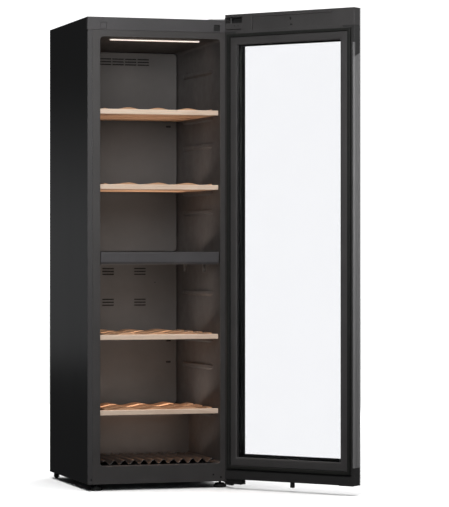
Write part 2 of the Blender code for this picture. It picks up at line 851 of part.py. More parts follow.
def lower_hinge_bracket(parent):
    """The stepped bracket under the base that carries the bottom pin."""
    flange = box((0.266, 0.294), (-0.001, 0.090), (BODY_BOTTOM - 0.0043, BODY_BOTTOM - GAP))
    web = box((0.266, 0.294), (-0.001, 0.003), (LOWER_ARM[0], BODY_BOTTOM - 0.001))
    boss = arc((HINGE_X, HINGE_Y), 0.0115, 180, 360, 8)
    arm = prism(boss + [(HINGE_X + 0.0115, 0.002), (HINGE_X - 0.0115, 0.002)], "z", *LOWER_ARM)
    pin = turned([(PIN_RADIUS, LOWER_ARM[1] - 0.001), (PIN_RADIUS, 0.036)], (HINGE_X, HINGE_Y, 0), "z", 16)
    return part("lower_hinge_bracket", fuse(flange, web, arm, pin), parent, BLACK_STEEL, smooth=True)


# Door, written from the hinge axis with the door shut


def along(distance):
    """The x of a point at this distance from the door's hinge edge."""
    return HINGE_FROM_EDGE - distance


def deep(distance):
    """The y of a point this far out from the door's inner face."""
    return HINGE_FROM_FACE - distance


def door_box(edge, depth, z):
    x = (along(edge[1]), along(edge[0]))
    y = (deep(depth[1]), deep(depth[0]))
    return box(x, y, z)


CORE = DOOR_THICK - GLASS - GAP
SLOT_Z = (1.8450, 1.8680)
BLOCK_Z = (1.8203, 1.8445)
PANE_Z = (0.110, 1.775)
COVER_EDGE = (0.127, 0.495)
COVER_Z = (1.814, 1.866)


def door_header(parent):
    """The top member, hollowed for the hinge arm, its bush block, the display and the cover."""
    bar = door_box((0.0, WIDTH), (0.0, CORE), (HEADER_BOTTOM, DOOR_TOP))
    web = door_box((STILE + GAP, WIDTH - STILE - GAP), (0.0, CORE), (PANE_Z[1] + GAP, HEADER_BOTTOM + 0.001))
    cuts = [
        door_box((-0.01, 0.080), (-0.01, 0.031), SLOT_Z),
        door_box((-0.01, 0.030), (-0.01, 0.10), SLOT_Z),
        door_box((-0.01, 0.0763), (-0.01, 0.0263), (BLOCK_Z[0] - 0.003, SLOT_Z[0] + 0.001)),
        door_box(COVER_EDGE, (-0.01, 0.010), COVER_Z),
        door_box((0.150, 0.470), (0.005, 0.034), (1.822, 1.858)),
        door_box((0.210, 0.410), (0.020, 0.10), (1.826, 1.854)),
    ]
    return part("door_header", cut(fuse(bar, web), *cuts), parent, DARK_PLASTIC)


def header_cover(parent):
    """The inset service cover, with a cable slot and a small latch hole."""
    edge = (COVER_EDGE[0] + GAP, COVER_EDGE[1] - GAP)
    plate = door_box(edge, (0.005, 0.0097), (COVER_Z[0] + GAP, COVER_Z[1] - GAP))
    holes = [
        door_box((0.299, 0.305), (0.0, 0.02), (1.845, 1.856)),
        door_box((0.301, 0.311), (0.0, 0.02), (1.824, 1.829)),
    ]
    return part("header_cover", cut(plate, *holes), parent, DARK_PLASTIC)


def display_module(parent):
    """The touch display board behind the door glass."""
    board = door_box((0.212, 0.408), (0.0343, CORE), (1.8275, 1.8525))
    return part("display_module", board, parent, BLACK_PLASTIC)


def bored(block, low, high):
    bore = turned([(BORE_RADIUS, low), (BORE_RADIUS, high)], (0, 0, 0), "z", 16)
    return cut(block, bore)


def upper_hinge_block(parent):
    block = door_box((0.0005, 0.076), (0.0003, 0.026), BLOCK_Z)
    return part("upper_hinge_block", bored(block, 1.7, 1.9), parent, DARK_PLASTIC)


def lower_hinge_block(parent):
    """The block under the door that turns on the bottom pin and stops the door."""
    block = door_box((0.004, 0.0725), (0.006, 0.038), (BLOCK_BOTTOM, DOOR_BOTTOM - GAP))
    return part("lower_hinge_block", bored(block, 0.0, 0.1), parent, BLACK_PLASTIC)


LOCK_EDGE = 0.3028


def door_bottom_rail(parent):
    """The bottom member, with a low pad at the free end and a bore for the lock."""
    rail = door_box((0.0, WIDTH), (0.0, CORE), (DOOR_BOTTOM, FRAME_BOTTOM - GAP))
    web = door_box((STILE + GAP, WIDTH - STILE - GAP), (0.0, CORE), (FRAME_BOTTOM - 0.001, PANE_Z[0] - GAP))
    pad = door_box((0.524, 0.586), (0.003, CORE - 0.003), (DOOR_BOTTOM - 0.002, DOOR_BOTTOM + 0.002))
    bore = turned([(0.0094, 0.0), (0.0094, DOOR_BOTTOM + 0.018)], (along(LOCK_EDGE), deep(0.02), 0), "z", 16)
    return part("door_bottom_rail", cut(fuse(rail, web, pad), bore), parent, BLACK_PLASTIC)


def hinge_stile(parent):
    bar = door_box((0.0, STILE), (0.0, CORE), (FRAME_BOTTOM, FRAME_TOP))
    return part("hinge_stile", bar, parent, BLACK_PLASTIC)


def grip_end(depth):
    """The height at which the grip's side face ends; its end is cut on a slope."""
    return GRIP_TOP - 0.0575 + 0.44 * depth


def handle_stile(parent):
    """The free-side member, full at both ends and cut back between them for the grip."""
    bar = door_box((WIDTH - STILE, WIDTH), (0.0, CORE), (FRAME_BOTTOM, FRAME_TOP))
    start = WIDTH - GRIP_WIDTH - GAP
    thin = door_box((start, WIDTH + 0.01), (-0.01, 0.0073), (GRIP_BOTTOM - GAP, GRIP_TOP + GAP))
    outline = [
        (deep(-0.01), GRIP_BOTTOM - GAP),
        (deep(-0.01), grip_end(-0.01) + 2 * GAP),
        (deep(CORE + 0.01), grip_end(CORE + 0.01) + 2 * GAP),
        (deep(CORE + 0.01), GRIP_BOTTOM - GAP),
    ]
    wide = prism(outline, "x", along(WIDTH + 0.01), along(start))
    return part("handle_stile", cut(bar, thin, wide), parent, BLACK_PLASTIC)


def door_handle(parent):
    """The aluminium grip along the free edge: a thin lip and a hollowed side face."""
    start = WIDTH - GRIP_WIDTH
    lip = door_box((start, WIDTH), (0.0, 0.007), (GRIP_BOTTOM, GRIP_TOP))
    outline = [
        (deep(0.0), GRIP_BOTTOM),
        (deep(0.0), grip_end(0.0)),
        (deep(CORE), grip_end(CORE)),
        (deep(CORE), GRIP_BOTTOM),
    ]
    side = prism(outline, "x", along(WIDTH), along(start))
    hollow = prism(
        [(along(WIDTH) - 0.0275 + 0.032 * math.cos(a), deep(0.025) + 0.018 * math.sin(a)) for a in turn_steps(16)],
        "z",
        GRIP_BOTTOM - 0.01,
        GRIP_TOP + 0.01,
    )
    return part("door_handle", cut(fuse(lip, side), hollow), parent, ALUMINIUM)


def turn_steps(count):
    return [2 * math.pi * i / count for i in range(count)]


def corners(edge, z):
    """Low and high corner of a door rectangle, for rectangle_ring."""
    return (along(WIDTH - edge), z[0]), (along(edge), z[1])


BEZEL_Z = (0.0933, 1.7879)
BEZEL_SCALE = (1.0, 32.7 / 29, 22.6 / 29)


def inner_bezel(parent):
    """The raised frame round the window, with a lip that reaches in to the inner pane."""
    low, high = corners(0.028 + GAP, BEZEL_Z)
    profile = [
        (0.0, deep(-GAP)),
        (0.0, deep(-0.003)),
        (0.001, deep(-0.004)),
        (0.028, deep(-0.004)),
        (0.029, deep(-0.003)),
        (0.029, deep(0.0137)),
        (0.0255, deep(0.0137)),
        (0.0255, deep(-GAP)),
    ]
    return part("inner_bezel", rectangle_ring(profile, low, high, BEZEL_SCALE), parent, DARK_PLASTIC)


def door_gasket(parent):
    """The magnetic seal: a hollow bellows in the real thing, drawn as its outer shape."""
    low, high = corners(0.013, (BEZEL_Z[0] - 0.0145, BEZEL_Z[1] + 0.0145))
    profile = [
        (0.001, deep(-GAP)),
        (0.0, deep(-0.004)),
        (0.003, deep(-0.006)),
        (0.001, deep(-0.009)),
        (0.003, deep(-0.0115)),
        (0.012, deep(-0.0115)),
        (0.0135, deep(-0.009)),
        (0.0115, deep(-0.006)),
        (0.0135, deep(-0.0045)),
        (0.0135, deep(-GAP)),
    ]
    ring = rectangle_ring(profile, low, high)
    return part("door_gasket", ring, parent, RUBBER)


PANE_EDGE = STILE + GAP


def inner_glass(parent):
    pane = door_box((PANE_EDGE, WIDTH - PANE_EDGE), (0.014, 0.018), PANE_Z)
    return part("inner_glass", pane, parent, CLEAR_GLASS)


def glass_spacer(parent):
    """The black spacer bar between the two panes."""
    low, high = corners(PANE_EDGE, PANE_Z)
    profile = [
        (0.004, deep(0.018 + GAP)),
        (0.015, deep(0.018 + GAP)),
        (0.015, deep(CORE)),
        (0.004, deep(CORE)),
    ]
    return part("glass_spacer", rectangle_ring(profile, low, high, (1.0, 1.5, 1.3)), parent, BLACK_PLASTIC)


def outer_glass(parent):
    pane = door_box((0.0, WIDTH), (DOOR_THICK - GLASS, DOOR_THICK), (DOOR_BOTTOM, DOOR_TOP))
    edges = [e for e in pane.edges if all(v.co.y < deep(DOOR_THICK) + 0.0001 for v in e.verts)]
    bmesh.ops.bevel(pane, geom=edges, offset=0.0008, segments=1, affect="EDGES")
    return part("outer_glass", pane, parent, CLEAR_GLASS)


def lock_barrel(parent):
    """The fixed sleeve of the lock under the door."""
    middle = (along(LOCK_EDGE), deep(0.02), 0)
    sleeve = turned([(0.0085, 0.0175), (0.0091, 0.019), (0.0091, DOOR_BOTTOM + 0.0175)], middle, "z", 20)
    bore = turned([(0.0061, 0.0), (0.0061, 0.046)], middle, "z", 16)
    return part("lock_barrel", cut(sleeve, bore), parent, BLACK_PLASTIC, smooth=True)


def lock_plug(parent):
    """The turning core of the lock, with its key slot facing down."""
    core = turned([(0.0048, 0.0163), (0.0058, 0.0175), (0.0058, 0.0455)], (0, 0, 0), "z", 16)
    slot = box((-0.0037, 0.0037), (-0.0008, 0.0008), (0.0, 0.026))
    plug = part("lock_plug", cut(core, slot), parent, ZINC, smooth=True)
    plug.location = (along(LOCK_EDGE), deep(0.02), 0)
    return plug


# Assembly


def build_cabinet(cooler):
    side_panel("side_panel_left", -1, cooler)
    side_panel("side_panel_right", 1, cooler)
    top_panel(cooler)
    rear_panel(cooler)
    base_frame(cooler)
    front_header(cooler)
    header_plug(cooler)
    inner_liner(cooler)
    side_insulation("insulation_left", -1, cooler)
    side_insulation("insulation_right", 1, cooler)
    top_insulation(cooler)
    rear_insulation(cooler)
    floor_insulation(cooler)
    upper_hinge_bracket(cooler)
    lower_hinge_bracket(cooler)
    for name, side in (("left", -1), ("right", 1)):
        front_foot("front_foot_" + name, side, cooler)
        rear_roller("rear_roller_" + name, side, cooler)


def build_cold_space(cooler):
    zone_divider(cooler)
    divider_fascia(cooler)
    light_bar("ceiling_light", 0.183, 0.084, ceiling_z(0.096) - 0.0004, 0.008, cooler)
    light_bar("divider_light", 0.160, 0.060, DIVIDER_BOTTOM - GAP, 0.0052, cooler)
    bottle_cradle(cooler)
    upper = (DIVIDER_TOP + 0.004, ceiling_z(LINER_BACK) - 0.002)
    lower = (HUMP_TOP + 0.001, DIVIDER_BOTTOM - 0.001)
    duct_cover("upper_duct_cover", upper, UPPER_LOUVRES, [(-0.187, 1.462), (0.187, 1.462)], UPPER_FAN_Z, cooler)
    lower_ovals = [(side * 0.187, z) for side in (-1, 1) for z in (0.569, 0.480)]
    duct_cover("lower_duct_cover", lower, LOWER_LOUVRES, lower_ovals, LOWER_FAN_Z, cooler)
    evaporator("upper_evaporator", (1.10, 1.44), cooler)
    evaporator("lower_evaporator", (0.34, 0.54), cooler)
    rotor("upper_fan", (0, 0.574, UPPER_FAN_Z), 0.013, FAN_RADIUS, 0.016, 5, cooler)
    rotor("lower_fan", (0, 0.574, LOWER_FAN_Z), 0.013, FAN_RADIUS, 0.016, 5, cooler)
    for number, top in enumerate(SHELF_TOPS, start=1):
        shelf_rail(f"shelf_{number}_rail", top, cooler)
        shelf_deck(f"shelf_{number}_deck", top, cooler)


def build_machine_room(cooler):
    compressor(cooler)
    condenser(cooler)
    condenser_fan_housing(cooler)
    x, y, z = CONDENSER_FAN
    rotor("condenser_fan", (x, y - 0.002, z), 0.018, 0.056, 0.018, 5, cooler)
    control_box(cooler)
    cord_gland(cooler)


def build_door(cooler):
    axis = empty("door_axis", (HINGE_X, HINGE_Y, 0), cooler)
    axis.rotation_euler.z = math.radians(DOOR_OPEN_DEG)
    door_header(axis)
    header_cover(axis)
    display_module(axis)
    upper_hinge_block(axis)
    lower_hinge_block(axis)
    door_bottom_rail(axis)
    hinge_stile(axis)
    handle_stile(axis)
    door_handle(axis)
    inner_bezel(axis)
    door_gasket(axis)
    inner_glass(axis)
    glass_spacer(axis)
    outer_glass(axis)
    lock_barrel(axis)
    lock_plug(axis)


def main():
    clear_scene()
    middle_x, middle_y = whole_box_middle()
    cooler = empty("cooler", (-middle_x, -middle_y, 0))
    build_cabinet(cooler)
    build_cold_space(cooler)
    build_machine_room(cooler)
    build_door(cooler)


main()
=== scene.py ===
import json
import math

import bmesh
import bpy
from mathutils import Matrix, Vector


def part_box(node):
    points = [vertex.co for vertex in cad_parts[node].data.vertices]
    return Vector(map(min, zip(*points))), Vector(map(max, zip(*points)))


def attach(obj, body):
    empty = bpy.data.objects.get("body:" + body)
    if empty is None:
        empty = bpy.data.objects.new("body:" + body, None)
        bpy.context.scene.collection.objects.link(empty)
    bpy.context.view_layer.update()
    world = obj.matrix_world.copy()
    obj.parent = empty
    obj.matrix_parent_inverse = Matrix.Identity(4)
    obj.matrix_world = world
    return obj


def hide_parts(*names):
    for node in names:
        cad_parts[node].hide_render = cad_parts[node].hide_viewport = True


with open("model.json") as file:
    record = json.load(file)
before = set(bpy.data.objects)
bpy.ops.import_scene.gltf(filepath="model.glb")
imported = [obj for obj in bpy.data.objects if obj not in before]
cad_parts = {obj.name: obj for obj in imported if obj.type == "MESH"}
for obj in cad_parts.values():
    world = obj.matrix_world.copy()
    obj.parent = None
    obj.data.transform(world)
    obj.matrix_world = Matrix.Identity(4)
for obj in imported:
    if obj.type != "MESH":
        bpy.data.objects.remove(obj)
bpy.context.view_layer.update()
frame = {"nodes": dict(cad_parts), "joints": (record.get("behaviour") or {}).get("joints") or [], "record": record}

# Places shared with the CAD, in metres.  Cabinet coordinates have x = 0 at the cabinet's middle and
# y = 0 at its front face.  Door coordinates are (distance from the hinge edge, depth from the inner
# face, height), for the door as it stands at rest.
HEADER_LOW, HEADER_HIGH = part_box("front_header")
SHIFT = Vector(((HEADER_LOW.x + HEADER_HIGH.x) / 2, HEADER_LOW.y, 0))
JOINTS = {j["name"]: j for j in frame["joints"]}
PIN = Vector((*JOINTS["door_hinge"]["pos_m"][:2], 0))
DOOR_OPEN = -math.radians(JOINTS["door_hinge"]["range_deg"][0])
DOOR_TURN = Matrix.Translation(PIN) @ Matrix.Rotation(DOOR_OPEN, 4, "Z")
CABINET_TURN = Matrix.Translation(SHIFT)
HINGE_FROM_EDGE, HINGE_FROM_FACE = 0.016, 0.020
WIDTH = 0.595
# The machine room's height, and how far back the side sheets' front edge reaches; that edge is painted a duller,
# lighter grey, painted light on the front-facing return.
MACHINE_ROOM_TOP, RETURN_THICK = 0.300, 0.0022
BODIES = frame["record"]["behaviour"]["bodies"]
BODY_OF = {node: body for body, nodes in BODIES.items() for node in nodes}


def wall_x(y):
    """Half the width between the liner's side walls."""
    return 0.2467 - 0.0388 * y


# ---------------------------------------------------------------- node tools


class Graph:
    """A short way to write a tree of nodes."""

    def __init__(self, tree):
        self.tree = tree

    def add(self, kind, **settings):
        node = self.tree.nodes.new(kind)
        for key, value in settings.items():
            setattr(node, key, value)
        return node

    def link(self, source, target):
        """Feeds an input from an output, or sets it to a constant."""
        if hasattr(source, "is_linked"):
            self.tree.links.new(source, target)
        elif isinstance(source, tuple) and target.type == "RGBA":
            target.default_value = (*source, 1.0)
        else:
            target.default_value = source

    def fill(self, node, **values):
        """Links or sets inputs by name, where an underscore stands for a space."""
        for key, value in values.items():
            self.link(value, node.inputs[key.replace("_", " ")])
        return node

    def math(self, operation, *values):
        node = self.add("ShaderNodeMath", operation=operation)
        for socket, value in zip(node.inputs, values):
            self.link(value, socket)
        return node.outputs[0]

    def spread(self, value, low, high, start=0.0, end=1.0, easing="LINEAR"):
        """Maps start..end to low..high."""
        node = self.add("ShaderNodeMapRange", interpolation_type=easing)
        self.fill(node, Value=value, From_Min=start, From_Max=end, To_Min=low, To_Max=high)
        return node.outputs["Result"]

    def axes(self, vector):
        """The x, y and z of a vector."""
        return self.fill(self.add("ShaderNodeSeparateXYZ"), Vector=vector).outputs


class Nodes(Graph):
    """The nodes of one material."""

    def __init__(self, name):
        self.material = bpy.data.materials.new(name)
        self.material.use_nodes = True
        super().__init__(self.material.node_tree)
        self.shader = self.tree.nodes["Principled BSDF"]
        self.place = self.add("ShaderNodeTexCoord").outputs["Object"]

    def set(self, **values):
        self.fill(self.shader, **values)

    def stretched(self, stretch):
        if stretch is None:
            return self.place
        return self.fill(self.add("ShaderNodeMapping"), Vector=self.place, Scale=stretch).outputs["Vector"]

    def noise(self, scale, detail=3.0, rough=0.5, stretch=None, distortion=0.0):
        """A noise texture from 0 to 1; stretch scales the coordinates along x, y and z."""
        node = self.add("ShaderNodeTexNoise")
        self.fill(node, Vector=self.stretched(stretch), Scale=scale, Detail=detail)
        return self.fill(node, Roughness=rough, Distortion=distortion).outputs["Fac"]

    def cells(self, scale, stretch=None):
        """The distance to the nearest of many scattered points."""
        node = self.add("ShaderNodeTexVoronoi")
        return self.fill(node, Vector=self.stretched(stretch), Scale=scale).outputs["Distance"]

    def ramp(self, value, *stops):
        """Maps a value to colours; stops are (position, colour) pairs."""
        node = self.fill(self.add("ShaderNodeValToRGB"), Fac=value)
        band = node.color_ramp
        while len(band.elements) < len(stops):
            band.elements.new(0.5)
        for element, (position, colour) in zip(band.elements, stops):
            element.position = position
            element.color = (*colour, 1.0)
        return node.outputs["Color"]

    def mix(self, factor, first, second):
        node = self.add("ShaderNodeMix", data_type="RGBA")
        sockets = {s.name: s for s in node.inputs if s.enabled}
        for name, value in (("Factor", factor), ("A", first), ("B", second)):
            self.link(value, sockets[name])
        return next(s for s in node.outputs if s.enabled)

    def rounded(self, radius):
        """The normal that the surface would have with rounded edges."""
        return self.fill(self.add("ShaderNodeBevel", samples=4), Radius=radius).outputs["Normal"]

    def edges(self, radius):
        """1 on rounded edges and 0 on flat faces."""
        dot = self.add("ShaderNodeVectorMath", operation="DOT_PRODUCT")
        self.link(self.rounded(radius), dot.inputs[0])
        self.link(self.add("ShaderNodeNewGeometry").outputs["Normal"], dot.inputs[1])
        return self.spread(dot.outputs["Value"], 1.0, 0.0, 0.90, 0.999)

    def bump(self, height, strength, distance, soft=0.0):
        """Adds a bump, over softened edges if soft is their radius."""
        node = self.fill(self.add("ShaderNodeBump"), Strength=strength, Distance=distance, Height=height)
        if soft:
            self.fill(node, Normal=self.rounded(soft))
        self.set(Normal=node.outputs["Normal"])


def tint(colour, factor):
    return tuple(min(1.0, c * factor) for c in colour)


# ---------------------------------------------------------------- materials


def plastic(name, colour, rough, grain=900.0, grain_depth=0.00006, wear=1.5, soft=0.0006, tone=0.10):
    """Moulded plastic: a fine eroded grain, cloudy tone, and lighter rubbed edges."""
    n = Nodes(name)
    cloud = n.noise(9.0, 4.0, 0.6)
    fine = n.noise(grain, 2.0, 0.6)
    body = n.ramp(cloud, (0.3, tint(colour, 1 - tone)), (0.7, tint(colour, 1 + tone)))
    rub = n.math("MULTIPLY", n.edges(soft * 1.6), n.noise(60.0, 3.0, 0.6))
    n.set(Base_Color=n.mix(rub, body, tint(colour, wear)))
    smear = n.noise(22.0, 5.0, 0.65)
    n.set(Roughness=n.spread(smear, rough - 0.06, rough + 0.06, 0.3, 0.7))
    n.bump(fine, 0.35, grain_depth, soft)
    return n.material


def painted_steel(name, colour, rough, peel_depth=0.00005, soft=0.0006):
    """Powder-coated sheet: orange peel, faint dust and lighter edges."""
    n = Nodes(name)
    peel = n.noise(420.0, 2.0, 0.5)
    cloud = n.noise(3.0, 3.0, 0.5)
    dust = n.math("GREATER_THAN", n.noise(1800.0, 1.0, 0.5), 0.74)
    body = n.ramp(cloud, (0.3, tint(colour, 0.92)), (0.7, tint(colour, 1.08)))
    body = n.mix(n.math("MULTIPLY", dust, 0.10), body, (0.20, 0.20, 0.20))
    rub = n.math("MULTIPLY", n.edges(soft * 1.6), n.noise(45.0, 3.0, 0.6))
    n.set(Base_Color=n.mix(rub, body, tint(colour, 2.0)))
    smear = n.noise(6.0, 5.0, 0.7, stretch=(1.0, 1.0, 0.35))
    n.set(Roughness=n.spread(smear, rough * 0.85, rough * 1.15, 0.3, 0.7))
    n.bump(peel, 0.25, peel_depth, soft)
    return n.material


def rubber(name, colour, rough=0.72):
    """Matt rubber with a pale bloom."""
    n = Nodes(name)
    bloom = n.noise(30.0, 5.0, 0.7)
    n.set(Base_Color=n.ramp(bloom, (0.3, tint(colour, 0.85)), (0.75, tint(colour, 1.35))))
    n.set(Roughness=n.spread(n.noise(80.0, 3.0), rough - 0.08, rough + 0.08, 0.3, 0.7))
    n.bump(n.noise(1400.0, 2.0), 0.25, 0.00004, 0.0004)
    n.set(Specular_IOR_Level=0.25)
    return n.material


def brushed(name, colour, rough, stretch, metallic=1.0, depth=0.00002):
    """Brushed or drawn metal; the lines run along the axis with the small stretch."""
    n = Nodes(name)
    lines = n.noise(700.0, 3.0, 0.6, stretch=stretch)
    cloud = n.noise(8.0, 3.0)
    body = n.ramp(lines, (0.3, tint(colour, 0.88)), (0.7, tint(colour, 1.10)))
    n.set(Base_Color=n.mix(n.math("MULTIPLY", cloud, 0.25), body, tint(colour, 0.8)))
    n.set(Roughness=n.spread(lines, rough - 0.07, rough + 0.09, 0.3, 0.7))
    n.set(Metallic=metallic)
    n.bump(lines, 0.35, depth, 0.0004)
    return n.material


def foam(name, colour, coating):
    """Insulation foam, coated grey where it walls in the machine room."""
    n = Nodes(name)
    low = n.math("LESS_THAN", n.axes(n.place)["Z"], MACHINE_ROOM_TOP)
    bare = n.ramp(n.noise(40.0, 5.0, 0.7), (0.3, tint(colour, 0.8)), (0.7, colour))
    n.set(Base_Color=n.mix(low, bare, coating))
    n.set(Roughness=n.spread(n.noise(300.0), 0.8, 0.98))
    n.bump(n.cells(500.0), 0.6, 0.0004)
    return n.material


def beech(name, light, dark, rough=0.48):
    """Beech along x: soft rings, long fine pores and short medullary flecks."""
    n = Nodes(name)
    rings = n.noise(26.0, 3.0, 0.55, stretch=(0.12, 1.0, 1.0), distortion=0.6)
    fibre = n.noise(420.0, 4.0, 0.65, stretch=(0.035, 1.0, 1.0))
    fleck = n.cells(260.0, stretch=(0.16, 1.0, 1.0))
    body = n.ramp(rings, (0.30, dark), (0.50, tint(light, 0.96)), (0.70, light))
    body = n.mix(n.spread(fibre, 0.0, 0.42, 0.42, 0.72), body, tint(dark, 0.82))
    body = n.mix(n.spread(fleck, 0.40, 0.0, 0.06, 0.20), body, tint(dark, 0.68))
    rub = n.math("MULTIPLY", n.edges(0.0012), 0.35)
    n.set(Base_Color=n.mix(rub, body, tint(light, 1.08)))
    n.set(Roughness=n.spread(fibre, rough - 0.08, rough + 0.14, 0.3, 0.7))
    n.bump(fibre, 0.30, 0.00010, 0.0006)
    return n.material


def clear_glass(name):
    """Clear glass, a little smeared."""
    n = Nodes(name)
    smear = n.noise(7.0, 4.0, 0.7)
    smeared, clean = (0.9085, 0.9116, 0.9238), (0.9136, 0.9167, 0.9288)
    n.set(Base_Color=n.ramp(smear, (0.3, smeared), (0.7, clean)))
    n.set(Roughness=n.spread(smear, 0.0, 0.012, 0.45, 0.8))
    n.set(Transmission_Weight=1.0, IOR=1.45)
    return n.material


def glass_print(name, colour):
    """Ceramic print behind glass."""
    n = Nodes(name)
    n.set(Base_Color=n.ramp(n.noise(1500.0, 1.0), (0.4, colour), (0.75, tint(colour, 1.6))))
    n.set(Roughness=n.spread(n.noise(12.0, 4.0), 0.55, 0.70))
    n.set(Specular_IOR_Level=0.0)
    n.bump(n.noise(900.0), 0.1, 0.00002)
    return n.material


def lamp(name, colour, strength):
    """A lit lens with faint ribs across it."""
    n = Nodes(name)
    ribs = n.noise(60.0, 2.0, stretch=(0.2, 1.0, 1.0))
    lens = n.ramp(ribs, (0.3, tint(colour, 0.93)), (0.7, colour))
    n.set(Base_Color=lens, Roughness=n.spread(n.noise(200.0), 0.35, 0.5))
    n.set(Emission_Color=lens, Emission_Strength=strength)
    return n.material


def side_sheet(name, grey):
    """A side sheet: a polished black side whose front return is painted a dull grey like the flange, painted light
    on the front-facing strip; the return is really the same black as the side.
    """
    n = Nodes(name)
    # Mask of the front return, which gets painted light: a lighter grey than the black side.
    front = n.math("LESS_THAN", n.axes(n.place)["Y"], SHIFT.y + RETURN_THICK)
    cloud = n.noise(3.0, 3.0, 0.5)
    polished = n.ramp(cloud, (0.3, (0.0095, 0.0095, 0.0098)), (0.7, (0.0110, 0.0110, 0.0112)))
    painted_lit_return = n.ramp(cloud, (0.3, tint(grey, 0.94)), (0.7, tint(grey, 1.06)))
    n.set(Base_Color=n.mix(front, polished, painted_lit_return))
    shine = n.spread(n.noise(6.0, 5.0, 0.7, stretch=(1.0, 1.0, 0.35)), 0.11, 0.15, 0.3, 0.7)
    n.set(Roughness=n.math("ADD", shine, n.math("MULTIPLY", front, 0.36)))
    n.bump(n.noise(420.0, 2.0, 0.5), 0.2, 0.000002)
    return n.material


LOOKS = {
    "side": side_sheet("side_lit_return_steel", (0.045, 0.0425, 0.0434)),
    # The hinge side's return is a darker grey: painted shade from the open door beside it.
    "side_shaded_right": side_sheet("hinge_side_shaded_return_steel", (0.022, 0.021, 0.0215)),
    "rear": painted_steel("rear_steel", (0.016, 0.016, 0.017), 0.5),
    "header": plastic("header_plastic", (0.0585, 0.0555, 0.0575), 0.50),
    "liner": plastic("liner_plastic", (0.0476, 0.0442, 0.0434), 0.46, wear=1.25),
    "duct": plastic("duct_plastic", (0.0485, 0.0445, 0.0430), 0.46, grain=700.0),
    "fascia": plastic("fascia_plastic", (0.072, 0.068, 0.071), 0.38),
    "door_grey": plastic("door_plastic", (0.0490, 0.0468, 0.0468), 0.48),
    "door_black": plastic("door_black_plastic", (0.027, 0.0265, 0.0265), 0.45),
    "black": plastic("black_plastic", (0.012, 0.012, 0.012), 0.46),
    "rack": plastic("rack_plastic", (0.028, 0.026, 0.026), 0.36, wear=1.6),
    "rubber": rubber("soft_rubber", (0.012, 0.012, 0.0118)),
    "gasket": rubber("seal_rubber", (0.0098, 0.0103, 0.0092), 0.7),
    "foam": foam("insulation_foam", (0.80, 0.74, 0.52), (0.075, 0.075, 0.077)),
    "aluminium": brushed("handle_aluminium", (0.22, 0.217, 0.22), 0.45, (1.0, 1.0, 0.02), metallic=0.25),
    "fins": brushed("fin_aluminium", (0.60, 0.61, 0.62), 0.38, (1.0, 1.0, 0.05)),
    "zinc": brushed("zinc_plate", (0.50, 0.50, 0.48), 0.36, (0.3, 1.0, 1.0)),
    "copper": brushed("copper_tube", (0.72, 0.36, 0.22), 0.34, (1.0, 1.0, 0.2)),
    "beech": beech("beech_rail", (0.86, 0.675, 0.53), (0.71, 0.51, 0.38)),
    "slat": beech("beech_slat", (0.52, 0.30, 0.17), (0.36, 0.19, 0.10), 0.55),
    "black_steel": painted_steel("black_steel", (0.020, 0.020, 0.020), 0.42),
    # Near-black plastic that stands in for shade in slots, sockets and pockets.
    "void": plastic("vent_shadow", (0.0022, 0.0022, 0.0022), 0.9),
    "glass": clear_glass("door_glass"),
    "frit": glass_print("glass_print", (0.024, 0.024, 0.0245)),
    "lamp": lamp("lamp_lens", (1.0, 0.87, 0.77), 0.85),
}

CAD_LOOKS = {
    "side": "side_panel_left",
    "side_shaded_right": "side_panel_right",
    "rear": "top_panel rear_panel base_frame lower_hinge_bracket upper_hinge_bracket compressor",
    "header": "front_header header_plug",
    "liner": "inner_liner zone_divider",
    "duct": "upper_duct_cover lower_duct_cover",
    "fascia": "divider_fascia",
    "door_grey": "door_header header_cover inner_bezel upper_hinge_block",
    "door_black": "door_bottom_rail hinge_stile handle_stile",
    "black": "display_module lower_hinge_block lock_barrel rear_roller_left rear_roller_right"
    " upper_fan lower_fan condenser_fan condenser_fan_housing control_box",
    "rack": "bottle_cradle",
    "rubber": "front_foot_left front_foot_right cord_gland",
    "gasket": "door_gasket",
    "foam": "insulation_left insulation_right insulation_top insulation_rear insulation_floor",
    "aluminium": "door_handle",
    "fins": "upper_evaporator lower_evaporator condenser",
    "zinc": "lock_plug",
    "beech": "shelf_1_rail shelf_2_rail shelf_3_rail shelf_4_rail",
    "slat": "shelf_1_deck shelf_2_deck shelf_3_deck shelf_4_deck",
    "glass": "outer_glass inner_glass",
    "frit": "glass_spacer",
    "lamp": "ceiling_light divider_light",
}


def dress_cad_nodes():
    for look, names in CAD_LOOKS.items():
        for name in names.split():
            node = frame["nodes"][name]
            for slot in node.material_slots:
                slot.material = LOOKS[look]


# ---------------------------------------------------------------- shape tools


def point_at(pair, along, axis):
    """The point with a given place along an axis and a pair of places along the other two."""
    index = "xyz".index(axis)
    return (*pair[:index], along, *pair[index:])


def rectangle(across, up):
    return [(across[0], up[0]), (across[1], up[0]), (across[1], up[1]), (across[0], up[1])]


def add_prism(bm, outline, axis, low, high):
    """Extrudes an outline, given in the other two axes, from low to high along an axis."""
    add_loft(bm, [[point_at(pair, level, axis) for pair in outline] for level in (low, high)])


def add_loft(bm, rings, closed=False):
    """Skins rings of points; the ends are capped unless the rings close on themselves."""
    rows = [[bm.verts.new(p) for p in ring] for ring in rings]
    for low, high in zip(rows, rows[1:] + (rows[:1] if closed else [])):
        for i in range(len(low)):
            j = (i + 1) % len(low)
            bm.faces.new((low[i], low[j], high[j], high[i]))
    if not closed:
        bm.faces.new(rows[0])
        bm.faces.new(rows[-1])


def add_box(bm, x, y, z):
    add_prism(bm, rectangle(x, y), "z", *z)


def add_turned(bm, profile, middle, axis, steps=40):
    """Turns a profile of (radius, place along the axis) points round an axis."""
    turns = [2 * math.pi * i / steps for i in range(steps)]
    rings = []
    for radius, along in profile:
        pairs = [(radius * math.cos(t), radius * math.sin(t)) for t in turns]
        rings.append([Vector(middle) + Vector(point_at(pair, along, axis)) for pair in pairs])
    add_loft(bm, rings)


